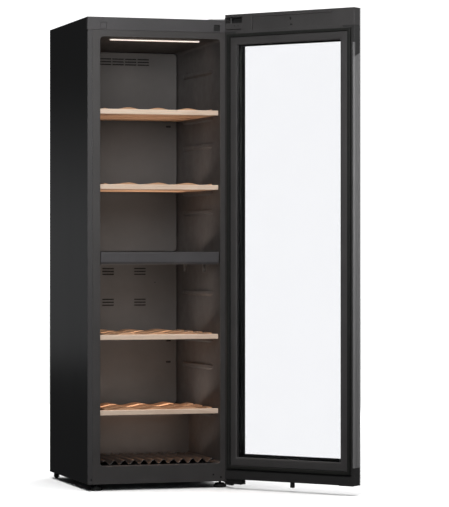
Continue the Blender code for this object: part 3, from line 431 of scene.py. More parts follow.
def add_frame(bm, profile, low, high, scale=(1.0, 1.0, 1.0, 1.0)):
    """A mitred rectangular frame in x and z; profile points are (inset, y).

    The scale widens the profile at the low and high ends of x, then of z.
    """
    sides = []
    for across, up in ((0, 0), (1, 0), (1, 1), (0, 1)):
        x = (low[0], high[0])[across]
        z = (low[1], high[1])[up]
        inward = ((1 - 2 * across) * scale[across], (1 - 2 * up) * scale[2 + up])
        sides.append([(x + inward[0] * inset, y, z + inward[1] * inset) for inset, y in profile])
    add_loft(bm, sides, closed=True)


def add_tube(bm, path, radius, sides=12):
    """A round tube along a path of points."""
    points = [Vector(p) for p in path]
    normal = None
    rings = []
    for i, point in enumerate(points):
        ahead = points[min(i + 1, len(points) - 1)] - points[max(i - 1, 0)]
        ahead.normalize()
        if normal is None:
            normal = ahead.orthogonal().normalized()
        normal = (normal - ahead * normal.dot(ahead)).normalized()
        other = ahead.cross(normal)
        turns = [2 * math.pi * k / sides for k in range(sides)]
        rings.append([point + radius * (math.cos(t) * normal + math.sin(t) * other) for t in turns])
    add_loft(bm, rings)


def smooth_path(points, steps=8):
    """A Catmull-Rom curve through a few points."""
    knots = [Vector(p) for p in points]
    knots = [2 * knots[0] - knots[1]] + knots + [2 * knots[-1] - knots[-2]]
    path = []
    for a, b, c, d in zip(knots, knots[1:], knots[2:], knots[3:]):
        for i in range(steps):
            t = i / steps
            square = (2 * a - 5 * b + 4 * c - d) * t * t
            path.append(0.5 * (2 * b + (c - a) * t + square + (3 * b - a - 3 * c + d) * t ** 3))
    return path + [knots[-2]]


def arc(middle, radius, start, end, steps):
    """Points on an arc, in degrees."""
    turns = [math.radians(start + (end - start) * i / steps) for i in range(steps + 1)]
    return [(middle[0] + radius * math.cos(t), middle[1] + radius * math.sin(t)) for t in turns]


def link(name, data):
    """A new object in the scene."""
    thing = bpy.data.objects.new(name, data)
    bpy.context.scene.collection.objects.link(thing)
    return thing


def round_edges(bm, width, segments, angle):
    """Rounds the edges sharper than the angle, except those too short to take it."""
    bmesh.ops.recalc_face_normals(bm, faces=bm.faces)
    sharp = [
        e for e in bm.edges
        if len(e.link_faces) == 2 and e.calc_length() > 3 * width
        and e.calc_face_angle() > math.radians(angle)
    ]
    bmesh.ops.bevel(
        bm, geom=sharp, offset=width, segments=segments, profile=0.5, affect="EDGES", clamp_overlap=False
    )


def piece(name, bm, look, node, turn=CABINET_TURN, bevel=0.0, segments=3, angle=30, replaces=False):
    """A finished piece that rides with a CAD node's body, and hides that node when it replaces it."""
    if bevel:
        round_edges(bm, bevel, segments, angle)
    bmesh.ops.recalc_face_normals(bm, faces=bm.faces)
    mesh = bpy.data.meshes.new(name)
    bm.to_mesh(mesh)
    bm.free()
    mesh.transform(turn)
    mesh.materials.append(LOOKS[look])
    mesh.shade_smooth()
    thing = link(name, mesh)
    mesh.set_sharp_from_angle(angle=math.radians(40 if bevel else angle))
    if bevel:
        flat = thing.modifiers.new("flat_faces", "WEIGHTED_NORMAL")
        flat.keep_sharp = True
    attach(thing, BODY_OF[node])
    if replaces:
        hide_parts(node)


def softened(node, look, width):
    """A copy of a CAD node with whole faces and rounded edges, which stands for it."""
    bm = bmesh.new()
    bm.from_mesh(frame["nodes"][node].data)
    bmesh.ops.remove_doubles(bm, verts=bm.verts, dist=0.00002)
    bmesh.ops.dissolve_limit(bm, angle_limit=math.radians(0.4), verts=bm.verts, edges=bm.edges)
    piece(node + "_finish", bm, look, node, Matrix.Identity(4), width, replaces=True)


def boxes(name, spans, look, node, **options):
    """One piece made of boxes, each given by its spans in x, y and z."""
    bm = bmesh.new()
    for span in spans:
        add_box(bm, *span)
    piece(name, bm, look, node, **options)


def add_screw(bm, place, axis, way, radius):
    """A pan-head screw with a round socket; way is the direction in which its head faces."""
    head = [
        (0.02, 0.18), (0.44, 0.18), (0.47, 0.52), (0.62, 0.55), (0.82, 0.46), (0.96, 0.28), (1.0, 0.08),
        (1.0, -0.3), (0.02, -0.3),
    ]
    middle = list(place)
    index = "xyz".index(axis)
    base = middle[index]
    middle[index] = 0.0
    add_turned(bm, [(r * radius, base + way * h * radius) for r, h in head], middle, axis, 20)


def screws(name, places, axis, way, radius, look, node, turn=CABINET_TURN):
    """One piece made of like screws that face the same way."""
    bm = bmesh.new()
    for place in places:
        add_screw(bm, place, axis, way, radius)
    piece(name, bm, look, node, turn)


def at_door(edge, depth, z):
    """A door point, from its distance to the hinge edge and its depth from the inner face."""
    return HINGE_FROM_EDGE - edge, HINGE_FROM_FACE - depth, z


# ---------------------------------------------------------------- finer pieces of the door

DOOR_CORE = 0.0437
DOOR_Z, PANE_Z, BEZEL_Z, SEAL_Z = (
    tuple(corner.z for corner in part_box(node))
    for node in ("outer_glass", "inner_glass", "inner_bezel", "door_gasket")
)
# The clear window inside the print, and the other places across, through and up the door.
CLEAR_EDGE, CLEAR_Z = (0.066, 0.5258), (0.138, 1.7536)
PANE_EDGE, SEAL_EDGE, BEZEL_EDGE = 0.0535, 0.013, 0.0283
OUTER_PRINT, INNER_PRINT = (0.04375, 0.04395), (0.01806, 0.01824)
GRIP_EDGE, GRIP_Z, GRIP_LIP = 0.5883, (0.107, 1.745), 0.0066
SLOT_Z, SLIT_Z, SLOT_DEPTH = (1.8453, 1.8679), (1.8621, 1.8657), 0.0434


def door_rectangle(edge, depth, z):
    return [at_door(e, depth, h) for e, h in rectangle(edge, z)]


def printed_border(name, node, depth, outer_edge, outer_z, inner_edge, inner_z):
    """The black ceramic print round a pane, drawn as a thin sheet on its hidden face."""
    bm = bmesh.new()
    near, far = depth
    rings = [
        door_rectangle(outer_edge, near, outer_z),
        door_rectangle(inner_edge, near, inner_z),
        door_rectangle(inner_edge, far, inner_z),
        door_rectangle(outer_edge, far, outer_z),
    ]
    add_loft(bm, rings, closed=True)
    piece(name, bm, "frit", node, DOOR_TURN)


def build_prints():
    rim = 0.0006
    printed_border(
        "outer_pane_print", "outer_glass", OUTER_PRINT,
        (rim, WIDTH - rim), (DOOR_Z[0] + rim, DOOR_Z[1] - rim), CLEAR_EDGE, CLEAR_Z,
    )
    printed_border(
        "inner_pane_print", "inner_glass", INNER_PRINT,
        (PANE_EDGE, WIDTH - PANE_EDGE), (PANE_Z[0] + rim, PANE_Z[1] - rim),
        (CLEAR_EDGE[0] - 0.0045, CLEAR_EDGE[1] + 0.0045), (CLEAR_Z[0] - 0.0085, CLEAR_Z[1] + 0.0064),
    )


def door_frame_profile(points):
    """Profile points of (inset, height over the door's inner face) as (inset, y)."""
    return [(inset, HINGE_FROM_FACE + height) for inset, height in points]


def door_corners(edge, z):
    return (HINGE_FROM_EDGE - WIDTH + edge, z[0]), (HINGE_FROM_EDGE - edge, z[1])


def build_seal():
    """The magnetic seal: a foot, a folded bellows on each side and a flat magnet face."""
    outer = [(0.0012, 0.0003), (0.0002, 0.0014), (0.0, 0.0030), (0.0007, 0.0044), (0.0024, 0.0056)]
    outer += [(0.0031, 0.0064), (0.0024, 0.0074), (0.0011, 0.0085), (0.0009, 0.0098), (0.0016, 0.0110)]
    face = [(0.0028, 0.0115), (0.0068, 0.0112), (0.0072, 0.0112), (0.0112, 0.0115)]
    inner = [(0.0124, 0.0110), (0.0134, 0.0099), (0.0134, 0.0086), (0.0124, 0.0075), (0.0116, 0.0065)]
    inner += [(0.0121, 0.0056), (0.0132, 0.0046), (0.0135, 0.0032), (0.0134, 0.0003)]
    bm = bmesh.new()
    add_frame(bm, door_frame_profile(outer + face + inner), *door_corners(SEAL_EDGE, SEAL_Z))
    piece("seal_bellows", bm, "gasket", "door_gasket", DOOR_TURN, angle=40, replaces=True)


def build_window_bezel():
    """The raised window frame with a rolled outer edge and a chamfer towards the glass."""
    width, roll, start = 0.0290, 0.0022, 0.0018
    turns = [math.radians(a) for a in range(0, 91, 15)]
    rolled = [(roll * (1 - math.cos(t)), start + roll * math.sin(t)) for t in turns]
    chamfer = [(0.0232, 0.0040), (0.0240, 0.0039), (0.0278, 0.0024), (0.0286, 0.0018), (width, 0.0008)]
    lip = [(width, -0.0130), (0.0286, -0.0137), (0.0258, -0.0137), (0.0255, -0.0132), (0.0255, 0.0003)]
    bm = bmesh.new()
    add_frame(
        bm, door_frame_profile([(0.0, 0.0003)] + rolled + chamfer + lip),
        *door_corners(BEZEL_EDGE, BEZEL_Z), scale=(32.4 / 29, 1.0, 32.7 / 29, 30.0 / 29),
    )
    piece("window_bezel", bm, "door_grey", "inner_bezel", DOOR_TURN, angle=35, replaces=True)


def build_grip():
    """The aluminium grip: a side face with a rounded finger hollow and a long thin lip."""
    soft, hollow, steps, half_turn = 0.0007, (0.032, 0.018), 24, 30.7
    outline = [(GRIP_EDGE, 0.0), (WIDTH - soft, 0.0), (WIDTH - soft * 0.3, soft * 0.3), (WIDTH, soft)]
    for i in range(steps + 1):
        angle = math.radians(-half_turn + 2 * half_turn * i / steps)
        outline.append((WIDTH + 0.0275 - hollow[0] * math.cos(angle), 0.025 + hollow[1] * math.sin(angle)))
    outline += [(WIDTH, DOOR_CORE - soft), (WIDTH - soft, DOOR_CORE), (GRIP_EDGE, DOOR_CORE)]
    bm = bmesh.new()
    slope_top = [at_door(s, d, GRIP_Z[1] - 0.0575 + 0.44 * d) for s, d in outline]
    add_loft(bm, [[at_door(s, d, GRIP_Z[0]) for s, d in outline], slope_top])
    lip = [(GRIP_EDGE, 0.0), (WIDTH - soft, 0.0), (WIDTH, soft), (WIDTH, GRIP_LIP), (GRIP_EDGE, GRIP_LIP)]
    add_loft(bm, [[at_door(s, d, z) for s, d in lip] for z in (GRIP_Z[1] - 0.0580, GRIP_Z[1])])
    piece("grip_extrusion", bm, "aluminium", "door_handle", DOOR_TURN, angle=25, replaces=True)


def build_slot_walls():
    """The closed end of the hinge slot, with a slit that lets the hinge arm pass, and a near-black plate inside
    it: painted shade that makes the slot look dark and deep.
    """
    def door_plan(edge, depth):
        return [at_door(e, d, 0.0)[:2] for e, d in rectangle(edge, depth)]

    end, shade_plate = bmesh.new(), bmesh.new()
    for low, high in ((SLOT_Z[0], SLIT_Z[0]), (SLIT_Z[1], SLOT_Z[1])):
        add_prism(end, door_plan((0.0004, 0.0024), (0.0003, SLOT_DEPTH)), "z", low, high)
    piece("hinge_slot_end", end, "door_grey", "door_header", DOOR_TURN)
    add_prism(shade_plate, door_plan((0.031, 0.0797), (0.0296, 0.0307)), "z", SLOT_Z[0], SLOT_Z[1] - 0.0002)
    piece("hinge_slot_shade", shade_plate, "void", "door_header", DOOR_TURN)


def build_door_hardware():
    bolts = [at_door(edge, 0.0003, 1.8330) for edge in (0.044, 0.060)]
    screws("upper_block_bolts", bolts, "y", 1, 0.0034, "black_steel", "upper_hinge_block", DOOR_TURN)
    below = [at_door(edge, 0.020, 0.0180) for edge in (0.020, 0.060)]
    screws("lower_block_screws", below, "z", -1, 0.0036, "black_steel", "lower_hinge_block", DOOR_TURN)
    far = WIDTH - 0.024
    corners = [at_door(edge, 0.0, z) for edge, z in ((0.040, 0.0560), (far, 0.0560), (far, 1.8420))]
    screws("door_frame_screws", corners, "y", 1, 0.0028, "black_steel", "door_header", DOOR_TURN)


# ---------------------------------------------------------------- finer pieces of the cold space

REAR_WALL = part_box("upper_duct_cover")[0].y - SHIFT.y
SHELF_TOPS = [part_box(f"shelf_{n}_rail")[1].z for n in (1, 2, 3, 4)]
SHELF_THICK, SLAT_HALF, SLAT_WIDTH = 0.0195, 0.2205, 0.096
CRADLE_PITCH, CRADLE_DEPTH = 0.1225, 0.009
RACK_PITCH, RACK_SWING, RACK_THICK = 0.040, 0.008, 0.003
LENS_DROP = 0.0044
# A deck that ends in front of this stops short of the machine-room step and has three slats.
STEP_Y = 0.45
LOUVRES = {
    "upper_duct_cover": [(-0.1105, 0.1045, 1.7130, 1.7440)],
    "lower_duct_cover": [
        (x - 0.0265, x + 0.0265, z, z + 0.031) for x in (-0.073, 0.064) for z in (0.842, 0.714)
    ],
}
OVALS = {
    "upper_duct_cover": [(-0.187, 1.462), (0.187, 1.462)],
    "lower_duct_cover": [(x, z) for x in (-0.187, 0.187) for z in (0.569, 0.480)],
}


def build_vent_backs():
    """Near-black plates a little behind the air slots: painted shade, so that the slots look deep."""
    depth = (REAR_WALL + 0.0026, REAR_WALL + 0.0036)
    for node, groups in LOUVRES.items():
        bm = bmesh.new()
        for left, right, low, high in groups:
            add_box(bm, (left, right), depth, (low, high))
        for x, z in OVALS[node]:
            add_turned(bm, [(0.014, y) for y in depth], (x, 0, z), "y", 20)
        piece(node.replace("cover", "vent_shade"), bm, "void", node)


def build_pocket_shade():
    """A near-black plate at the end of the open pocket in the strip over the door opening: painted shade that
    makes the pocket look deep.
    """
    spans = ((0.2200, 0.2444), (0.0070, 0.0118), (1.8155, 1.8409))
    boxes("header_pocket_shade", [spans], "black", "front_header", bevel=0.0004)


def build_ceiling_lens():
    """The slim rounded lens of the lamp under the ceiling."""
    low, high = (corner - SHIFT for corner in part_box("ceiling_light"))
    middle, half = (low.y + high.y) / 2, (high.y - low.y) / 2
    turns = [math.pi * i / 12 for i in range(13)]
    outline = [(middle - half * math.cos(t), high.z - LENS_DROP * math.sin(t) ** 0.6) for t in turns]
    bm = bmesh.new()
    add_prism(bm, outline, "x", low.x, high.x)
    piece("ceiling_lens", bm, "lamp", "ceiling_light", replaces=True)


def build_sensors():
    """The small round temperature sensor caps on the rear and right walls."""
    radius, base, side_y = 0.0042, 0.0004, 0.423
    cap = [(0.0001, -0.0022), (0.0018, -0.0021), (0.0034, -0.0015)]
    cap += [(radius, 0.0), (radius, base), (0.0001, base)]
    bm = bmesh.new()
    add_turned(bm, [(r, REAR_WALL + y) for r, y in cap], (0.129, 0, 0.812), "y", 24)
    add_turned(bm, [(r * 0.8, wall_x(side_y) + 0.7 * y) for r, y in cap], (0, side_y, 1.678), "x", 24)
    piece("sensor_caps", bm, "black", "inner_liner")


def add_board(bm, columns, front, back, soft):
    """A board along x whose lower and upper faces follow columns of (x, low, high)."""
    rings = []
    for x, low, high in columns:
        corners = ((back - soft, high - soft, 0), (front + soft, high - soft, 90))
        corners += ((front + soft, low + soft, 180), (back - soft, low + soft, 270))
        section = [point for y, z, start in corners for point in arc((y, z), soft, start, start + 90, 3)]
        rings.append([(x, *point) for point in section])
    add_loft(bm, rings)


def slat_columns(top):
    """A slat's flat underside and the bottle cradles in its upper face."""
    steps = 108
    columns = []
    for i in range(steps + 1):
        x = -SLAT_HALF + 2 * SLAT_HALF * i / steps
        crest = (1 + math.cos(2 * math.pi * x / CRADLE_PITCH)) / 2
        columns.append((x, top - SHELF_THICK + 0.0008, top - 0.001 + CRADLE_DEPTH * crest))
    return columns


def build_shelves():
    """The slats, runners and screws of each deck, and each rail with rounded edges."""
    inset, screw_x, runner_x = 0.024, 0.2085, 0.196
    for number, top in enumerate(SHELF_TOPS, start=1):
        node = f"shelf_{number}_deck"
        front, back = (corner.y - SHIFT.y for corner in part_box(node))
        count = 4 if back > STEP_Y else 3
        pitch = (back - front - SLAT_WIDTH) / (count - 1)
        starts = [front + pitch * i for i in range(count)]
        slats, runners = bmesh.new(), bmesh.new()
        for start in starts:
            add_board(slats, slat_columns(top), start, start + SLAT_WIDTH, 0.0018)
        piece(node + "_slats", slats, "slat", node, angle=40, replaces=True)
        for side in (-1, 1):
            outer = [(side * (wall_x(y) - 0.0035), y) for y in (front, back)]
            plan = outer + [(side * runner_x, back), (side * runner_x, front)]
            add_prism(runners, plan, "z", top - SHELF_THICK, top - SHELF_THICK + 0.0088)
        piece(node + "_runners", runners, "slat", node, bevel=0.0012)
        places = [
            (side * screw_x, start + inward, top + 0.0022)
            for start in starts for side in (-1, 1) for inward in (inset, SLAT_WIDTH - inset)
        ]
        screws(node + "_screws", places, "z", 1, 0.0026, "zinc", node)
        softened(f"shelf_{number}_rail", "beech", 0.0007)


def build_rack():
    """The corrugated rack on the floor, with a rolled rim along its front and back."""
    low, high = (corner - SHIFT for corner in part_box("bottle_cradle"))
    half, steps = (high.x - low.x) / 2, 138
    wave = []
    for i in range(steps + 1):
        x = -half + 2 * half * i / steps
        z = low.z + RACK_SWING * (1 - math.cos(2 * math.pi * x / RACK_PITCH))
        wave.append((x, z, z + RACK_THICK))
    bm = bmesh.new()
    add_board(bm, wave, low.y, high.y, 0.0012)
    piece("rack_corrugation", bm, "rack", "bottle_cradle", angle=50, replaces=True)


# ---------------------------------------------------------------- finer pieces outside and behind


def build_foot(name, side):
    """A levelling foot with a ribbed hand nut over a broad rubber pad.

    Its profile's points are (radius, height, depth of the ribs as a part of the radius).
    """
    profile = [
        (0.0215, 0.0, 0), (0.0245, 0.0008, 0), (0.0258, 0.0026, 0), (0.0260, 0.0045, 0),
        (0.0260, 0.0080, 0), (0.0252, 0.0094, 0), (0.0225, 0.0108, 0), (0.0195, 0.0116, 0),
        (0.0190, 0.0125, 0.035), (0.0190, 0.0172, 0.035), (0.0182, 0.0180, 0.02), (0.0070, 0.0184, 0),
        (0.0052, 0.0190, 0), (0.0052, 0.0282, 0),
    ]
    x, y, ribs, steps = side * 0.255, 0.036, 16, 96
    turns = [2 * math.pi * i / steps for i in range(steps)]
    rings = []
    for radius, z, wave in profile:
        swollen = [(t, radius * (1 + wave * math.cos(ribs * t))) for t in turns]
        rings.append([(x + r * math.cos(t), y + r * math.sin(t), z) for t, r in swollen])
    bm = bmesh.new()
    add_loft(bm, rings)
    piece(name + "_pad", bm, "rubber", name, angle=40, replaces=True)


def build_roller(name, side):
    """A hard roller with a grooved tread."""
    half, radius, axle, x, y = 0.005, 0.0115, 0.0027, side * 0.280, 0.600
    tread = [
        (axle, -half - 0.0035), (axle, -half), (radius - 0.0035, -half), (radius - 0.0031, -half + 0.0006),
        (radius - 0.0016, -half + 0.0006), (radius - 0.0008, -half), (radius - 0.0002, -half + 0.0006),
        (radius, -half + 0.0016), (radius, -0.0012), (radius - 0.0007, -0.0006),
    ]
    tread += [(r, -along) for r, along in reversed(tread)]
    bm = bmesh.new()
    add_turned(bm, [(r, x + along) for r, along in tread], (0, y, radius), "x")
    piece(name + "_wheel", bm, "black", name, replaces=True)


def build_fan(node, hub, tip, depth, blades=5):
    """An axial fan with a domed hub and twisted, swept blades; its axis runs along y."""
    low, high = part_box(node)
    middle = (low + high) / 2 - SHIFT
    half, root = depth / 2, hub * 0.92
    dome = [(0.0002, -half), (hub * 0.6, -half), (hub * 0.88, -half * 0.86), (hub, -half * 0.55)]
    dome += [(hub, half * 0.9), (hub * 0.94, half), (0.0002, half)]
    bm = bmesh.new()
    add_turned(bm, [(r, middle.y + a) for r, a in dome], (middle.x, 0, middle.z), "y")
    spans, chords = 8, 8
    for b in range(blades):
        rings = []
        for i in range(spans + 1):
            t = i / spans
            radius = root + (tip - root) * t
            pitch = math.radians(40 - 16 * t)
            width = 2 * math.pi * radius / blades * (0.62 + 0.16 * math.sin(math.pi * t))
            width = min(width, 1.7 * half / math.sin(pitch))
            ring = []
            for way in (1, -1):
                for k in range(chords + 1):
                    c = (k / chords - 0.5) * way
                    camber = 0.0016 * (1 - 4 * c * c)
                    along = middle.y + c * width * math.sin(pitch) + camber - way * 0.0006
                    turn = 2 * math.pi * b / blades + 0.20 * t + c * width * math.cos(pitch) / radius
                    across, up = radius * math.cos(turn), radius * math.sin(turn)
                    ring.append((middle.x + across, along, middle.z + up))
            rings.append(ring)
        add_loft(bm, rings)
    piece(node + "_blades", bm, "black", node, angle=45, replaces=True)


def build_compressor():
    """The welded pot with its seam, foot plate, rubber mounts and relay box."""
    x, y = -0.100, 0.545
    lower = [(0.0300, 0.0520), (0.0600, 0.0538), (0.0720, 0.0600), (0.0785, 0.0700), (0.0800, 0.0820)]
    seam = [(0.0800, 0.1090), (0.0806, 0.1120), (0.0828, 0.1136), (0.0830, 0.1226), (0.0808, 0.1244)]
    upper = [(0.0790, 0.1270), (0.0785, 0.1560), (0.0765, 0.1740), (0.0720, 0.1880), (0.0640, 0.1985)]
    crown = [(0.0520, 0.2055), (0.0380, 0.2092), (0.0200, 0.2108), (0.0020, 0.2112)]
    pot = bmesh.new()
    add_turned(pot, lower + seam + upper + crown, (x, y, 0), "z", 64)
    add_turned(pot, [(0.004, 0.205), (0.004, 0.2305), (0.0034, 0.2310)], (-0.060, y, 0), "z", 16)
    piece("compressor_pot", pot, "black_steel", "compressor", angle=40, replaces=True)
    width, plate_top = (-0.200, 0.0), 0.0515
    plate = [(width, (0.475, 0.615), (0.0485, plate_top))]
    plate += [(width, (lip, lip + 0.002), (0.0445, 0.0535)) for lip in (0.4765, 0.6115)]
    boxes("compressor_plate", plate, "zinc", "compressor", bevel=0.0006)
    mount = [(0.0100, 0.0290), (0.0102, 0.0330), (0.0078, 0.0350), (0.0100, 0.0370), (0.0078, 0.0400)]
    mount += [(0.0096, 0.0425), (0.0080, 0.0480)]
    places = [(x + across, y + along) for across in (-0.088, 0.088) for along in (-0.056, 0.056)]
    mounts = bmesh.new()
    for place in places:
        add_turned(mounts, mount, (*place, 0), "z", 28)
    piece("compressor_mounts", mounts, "rubber", "compressor", angle=40)
    bolts = [(*place, plate_top) for place in places]
    screws("compressor_bolts", bolts, "z", 1, 0.0060, "zinc", "compressor")
    cover = ((-0.0235, 0.0055), (0.5205, 0.5695), (0.0955, 0.1545))
    boxes("compressor_relay_cover", [cover], "black", "compressor", bevel=0.004, segments=4)


def build_pipes():
    """The copper lines from the compressor to the condenser, and from the drier up into the foam."""
    lines = bmesh.new()
    discharge = [
        (-0.060, 0.545, 0.228), (-0.060, 0.544, 0.240), (-0.052, 0.532, 0.251), (-0.025, 0.510, 0.252),
        (0.010, 0.488, 0.246), (0.036, 0.478, 0.225), (0.046, 0.4775, 0.205), (0.047, 0.4775, 0.190),
    ]
    suction = [
        (-0.176, 0.545, 0.160), (-0.192, 0.546, 0.161), (-0.207, 0.553, 0.170), (-0.214, 0.570, 0.195),
        (-0.214, 0.590, 0.225), (-0.214, 0.598, 0.250), (-0.214, 0.600, 0.267),
    ]
    liquid = [
        (0.046, 0.4775, 0.040), (0.032, 0.492, 0.038), (0.022, 0.530, 0.038), (0.020, 0.575, 0.040),
        (0.020, 0.597, 0.052), (0.020, 0.602, 0.066),
    ]
    capillary = [(0.020, 0.602, 0.150), (0.020, 0.602, 0.175), (0.014, 0.600, 0.215), (0.012, 0.598, 0.267)]
    for route, radius in ((discharge, 0.0032), (suction, 0.0040), (liquid, 0.0032), (capillary, 0.0012)):
        add_tube(lines, smooth_path(route), radius)
    drier = [(0.0034, 0.062), (0.0050, 0.067), (0.0088, 0.076), (0.0090, 0.140)]
    drier += [(0.0050, 0.149), (0.0018, 0.154)]
    add_turned(lines, drier, (0.020, 0.602, 0), "z", 28)
    piece("refrigerant_lines", lines, "copper", "compressor", angle=50)


def build_condenser():
    """A block of thin fins on two rows of tube joined by U bends."""
    low, high = (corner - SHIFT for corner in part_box("condenser"))
    fins, rows, end_gap = 46, 6, 0.011
    bend = [math.pi * k / 8 for k in range(1, 8)]
    depth, height = (low.y, high.y), (low.z, high.z)
    spans = []
    for i in range(fins):
        x = low.x + (high.x - low.x) * i / (fins - 1)
        spans.append(((x - 0.00015, x + 0.00015), depth, height))
    for x in (low.x, high.x):
        spans.append(((x - 0.0008, x + 0.0008), (low.y - 0.001, high.y + 0.001), height))
    boxes("condenser_fins", spans, "fins", "condenser", replaces=True)
    tubes = bmesh.new()
    pitch = (high.z - low.z - 2 * end_gap) / (rows - 1)
    ends = (low.x - 0.003, high.x + 0.003)
    for y in (low.y + 0.0125, high.y - 0.0125):
        path = []
        for row in range(rows):
            z = low.z + end_gap + pitch * row
            way = 1 if row % 2 == 0 else -1
            start, stop = ends[::way]
            path += [(start, y, z), (stop, y, z)]
            for turn in bend if row < rows - 1 else []:
                reach = way * pitch / 2 * math.sin(turn) * 0.55
                path.append((stop + reach, y, z + pitch / 2 * (1 - math.cos(turn))))
        add_tube(tubes, path, 0.0030, 10)
    piece("condenser_tubes", tubes, "copper", "condenser", angle=50)


def build_outer_screws():
    """Screws of the plinth, the hinge bracket, the lid and the back, and the bracket's cap."""
    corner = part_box("side_panel_left")[1]
    plinth = [(0.2176, 0.0, 0.0536), (0.2488, 0.0, 0.0429), (-0.2818, 0.0, 0.0446)]
    # The plinth screws take the near-black slot shade: painted shade of their sockets, so they read as dark holes.
    screws("plinth_screws", plinth, "y", -1, 0.0038, "void", "inner_liner")
    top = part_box("upper_hinge_bracket")[1].z
    bracket = [(x, 0.045, top) for x in (0.225, 0.272)]
    screws("upper_bracket_screws", bracket, "z", 1, 0.0052, "zinc", "upper_hinge_bracket")
    cap = ((0.2835, 0.2945), (0.0075, 0.0640), (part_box("side_panel_right")[1].z, 1.8760))
    boxes("upper_bracket_cap", [cap], "black", "upper_hinge_bracket", bevel=0.0014)
    lid = [(x, 0.632, corner.z) for x in (-0.275, -0.09, 0.09, 0.275)]
    screws("lid_screws", lid, "z", 1, 0.0034, "zinc", "top_panel")
    back = [(x, z) for z in (0.33, 0.62, 0.98, 1.10, 1.46, 1.835) for x in (-0.255, 0.255)]
    back += [(x, z) for x in (-0.12, 0.12) for z in (0.325, 1.842)]
    back = [(x, corner.y - SHIFT.y, z) for x, z in back]
    screws("rear_screws", back, "y", 1, 0.0036, "zinc", "rear_panel")


SOFT_EDGES = {
    "door_header": ("door_grey", 0.0008),
    "header_cover": ("door_grey", 0.0006),
    "upper_hinge_block": ("door_grey", 0.0010),
    "door_bottom_rail": ("door_black", 0.0010),
    "hinge_stile": ("door_black", 0.0008),
    "handle_stile": ("door_black", 0.0008),
    "lower_hinge_block": ("black", 0.0012),
    "front_header": ("header", 0.0009),
    "side_panel_left": ("side", 0.0004),
    "side_panel_right": ("side_shaded_right", 0.0004),
    "inner_liner": ("liner", 0.0007),
    "zone_divider": ("liner", 0.0008),
    "divider_fascia": ("fascia", 0.0009),
    "upper_duct_cover": ("duct", 0.0006),
    "lower_duct_cover": ("duct", 0.0006),
    "upper_hinge_bracket": ("black_steel", 0.0005),
    "lower_hinge_bracket": ("black_steel", 0.0006),
    "control_box": ("black", 0.0020),
    "condenser_fan_housing": ("black", 0.0010),
    "base_frame": ("rear", 0.0005),
    "rear_panel": ("rear", 0.0004),
    "top_panel": ("rear", 0.0004),
}


def build_pieces():
    for node, (look, width) in SOFT_EDGES.items():
        softened(node, look, width)
    build_prints()
    build_seal()
    build_window_bezel()
    build_grip()
    build_slot_walls()
    build_door_hardware()
    build_vent_backs()
    build_pocket_shade()
    build_ceiling_lens()
    build_sensors()
    build_shelves()
    build_rack()
    for side, name in ((-1, "left"), (1, "right")):
        build_foot("front_foot_" + name, side)
        build_roller("rear_roller_" + name, side)
    build_fan("upper_fan", 0.013, 0.045, 0.016)
    build_fan("lower_fan", 0.013, 0.045, 0.016)
    build_fan("condenser_fan", 0.018, 0.056, 0.018)
    build_compressor()
    build_pipes()
    build_condenser()
    build_outer_screws()


# ---------------------------------------------------------------- stage, light and camera


def build_floor():
    bm = bmesh.new()
    bmesh.ops.create_grid(bm, x_segments=1, y_segments=1, size=40.0)
    mesh = bpy.data.meshes.new("floor")
    bm.to_mesh(mesh)
    bm.free()
    floor = link("floor", mesh)
    n = Nodes("pale_floor")
    n.set(Base_Color=n.ramp(n.noise(3.0), (0.3, (0.90, 0.90, 0.90)), (0.7, (0.91, 0.91, 0.91))))
    n.set(Roughness=0.9, Specular_IOR_Level=0.0)
    mesh.materials.append(n.material)
    floor.visible_glossy = floor.visible_diffuse = floor.visible_transmission = False


def area_light(name, place, target, size, power, colour=(1.0, 1.0, 1.0)):
    """A rectangular light that the camera and the glass don't see."""
    data = bpy.data.lights.new(name, "AREA")
    data.shape = "RECTANGLE"
    data.size, data.size_y = size
    data.energy = power
    data.color = colour
    light = link(name, data)
    light.location = place
    light.rotation_euler = (Vector(target) - Vector(place)).to_track_quat("-Z", "Y").to_euler()
    light.visible_camera = light.visible_transmission = False
    return light


WARM = (1.0, 0.86, 0.76)
BAR_POWERS = {"ceiling_light": 0.22, "divider_light": 0.38}
BAY_POWERS = (0.15, 0.98, 1.45, 1.1, 1.68, 0.68)
# Name, place, point aimed at, width and height, and watts.
STUDIO_LIGHTS = (
    ("front_key", (-1.05, -2.75, 1.98), (0.05, 0.0, 1.25), (1.2, 1.0), 58),
    ("handle_card", (3.3, -1.6, 1.6), (0.6, -0.4, 0.95), (0.8, 1.8), 29),
    ("back_fill", (2.5, 4.4, 2.1), (0.0, 0.65, 1.0), (1.4, 1.4), 80),
)


def build_light():
    sun = bpy.data.lights.new("overhead", "SUN")
    sun.energy = 3.75
    sun.angle = math.radians(30)
    link("overhead", sun)
    front = area_light("front_soft", (-2.5, -8.0, 1.45), (0.0, 0.0, 2.2), (1.6, 1.2), 7)
    front.data.spread = math.radians(54)
    for settings in STUDIO_LIGHTS:
        area_light(*settings)
    build_cold_light()
    build_world()


def build_cold_light():
    """The light bars' own glow, and what they send round each compartment."""
    for name, power in BAR_POWERS.items():
        low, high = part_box(name)
        start = Vector(((low.x + high.x) / 2, (low.y + high.y) / 2, low.z - 0.004))
        target = Vector((start.x, start.y + 0.18, low.z - 0.25))
        area_light(name + "_glow", start, target, (high.x - low.x, 0.01), power, WARM)
    floors = [z + 0.012 for z in SHELF_TOPS]
    floors = floors[:2] + [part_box("divider_fascia")[1].z + 0.003] + floors[2:] + [0.125]
    for number, (floor_z, power) in enumerate(zip(floors, BAY_POWERS), start=1):
        start = Vector((SHIFT.x, SHIFT.y + 0.22, floor_z))
        target = start + Vector((0.0, 0.08, 0.22))
        area_light(f"bay_{number}_glow", start, target, (0.38, 0.30), power, WARM)


STUDIO_LEVEL, CARD_LEVEL, WHITE_LEVEL = 0.028, 0.10, 1.265
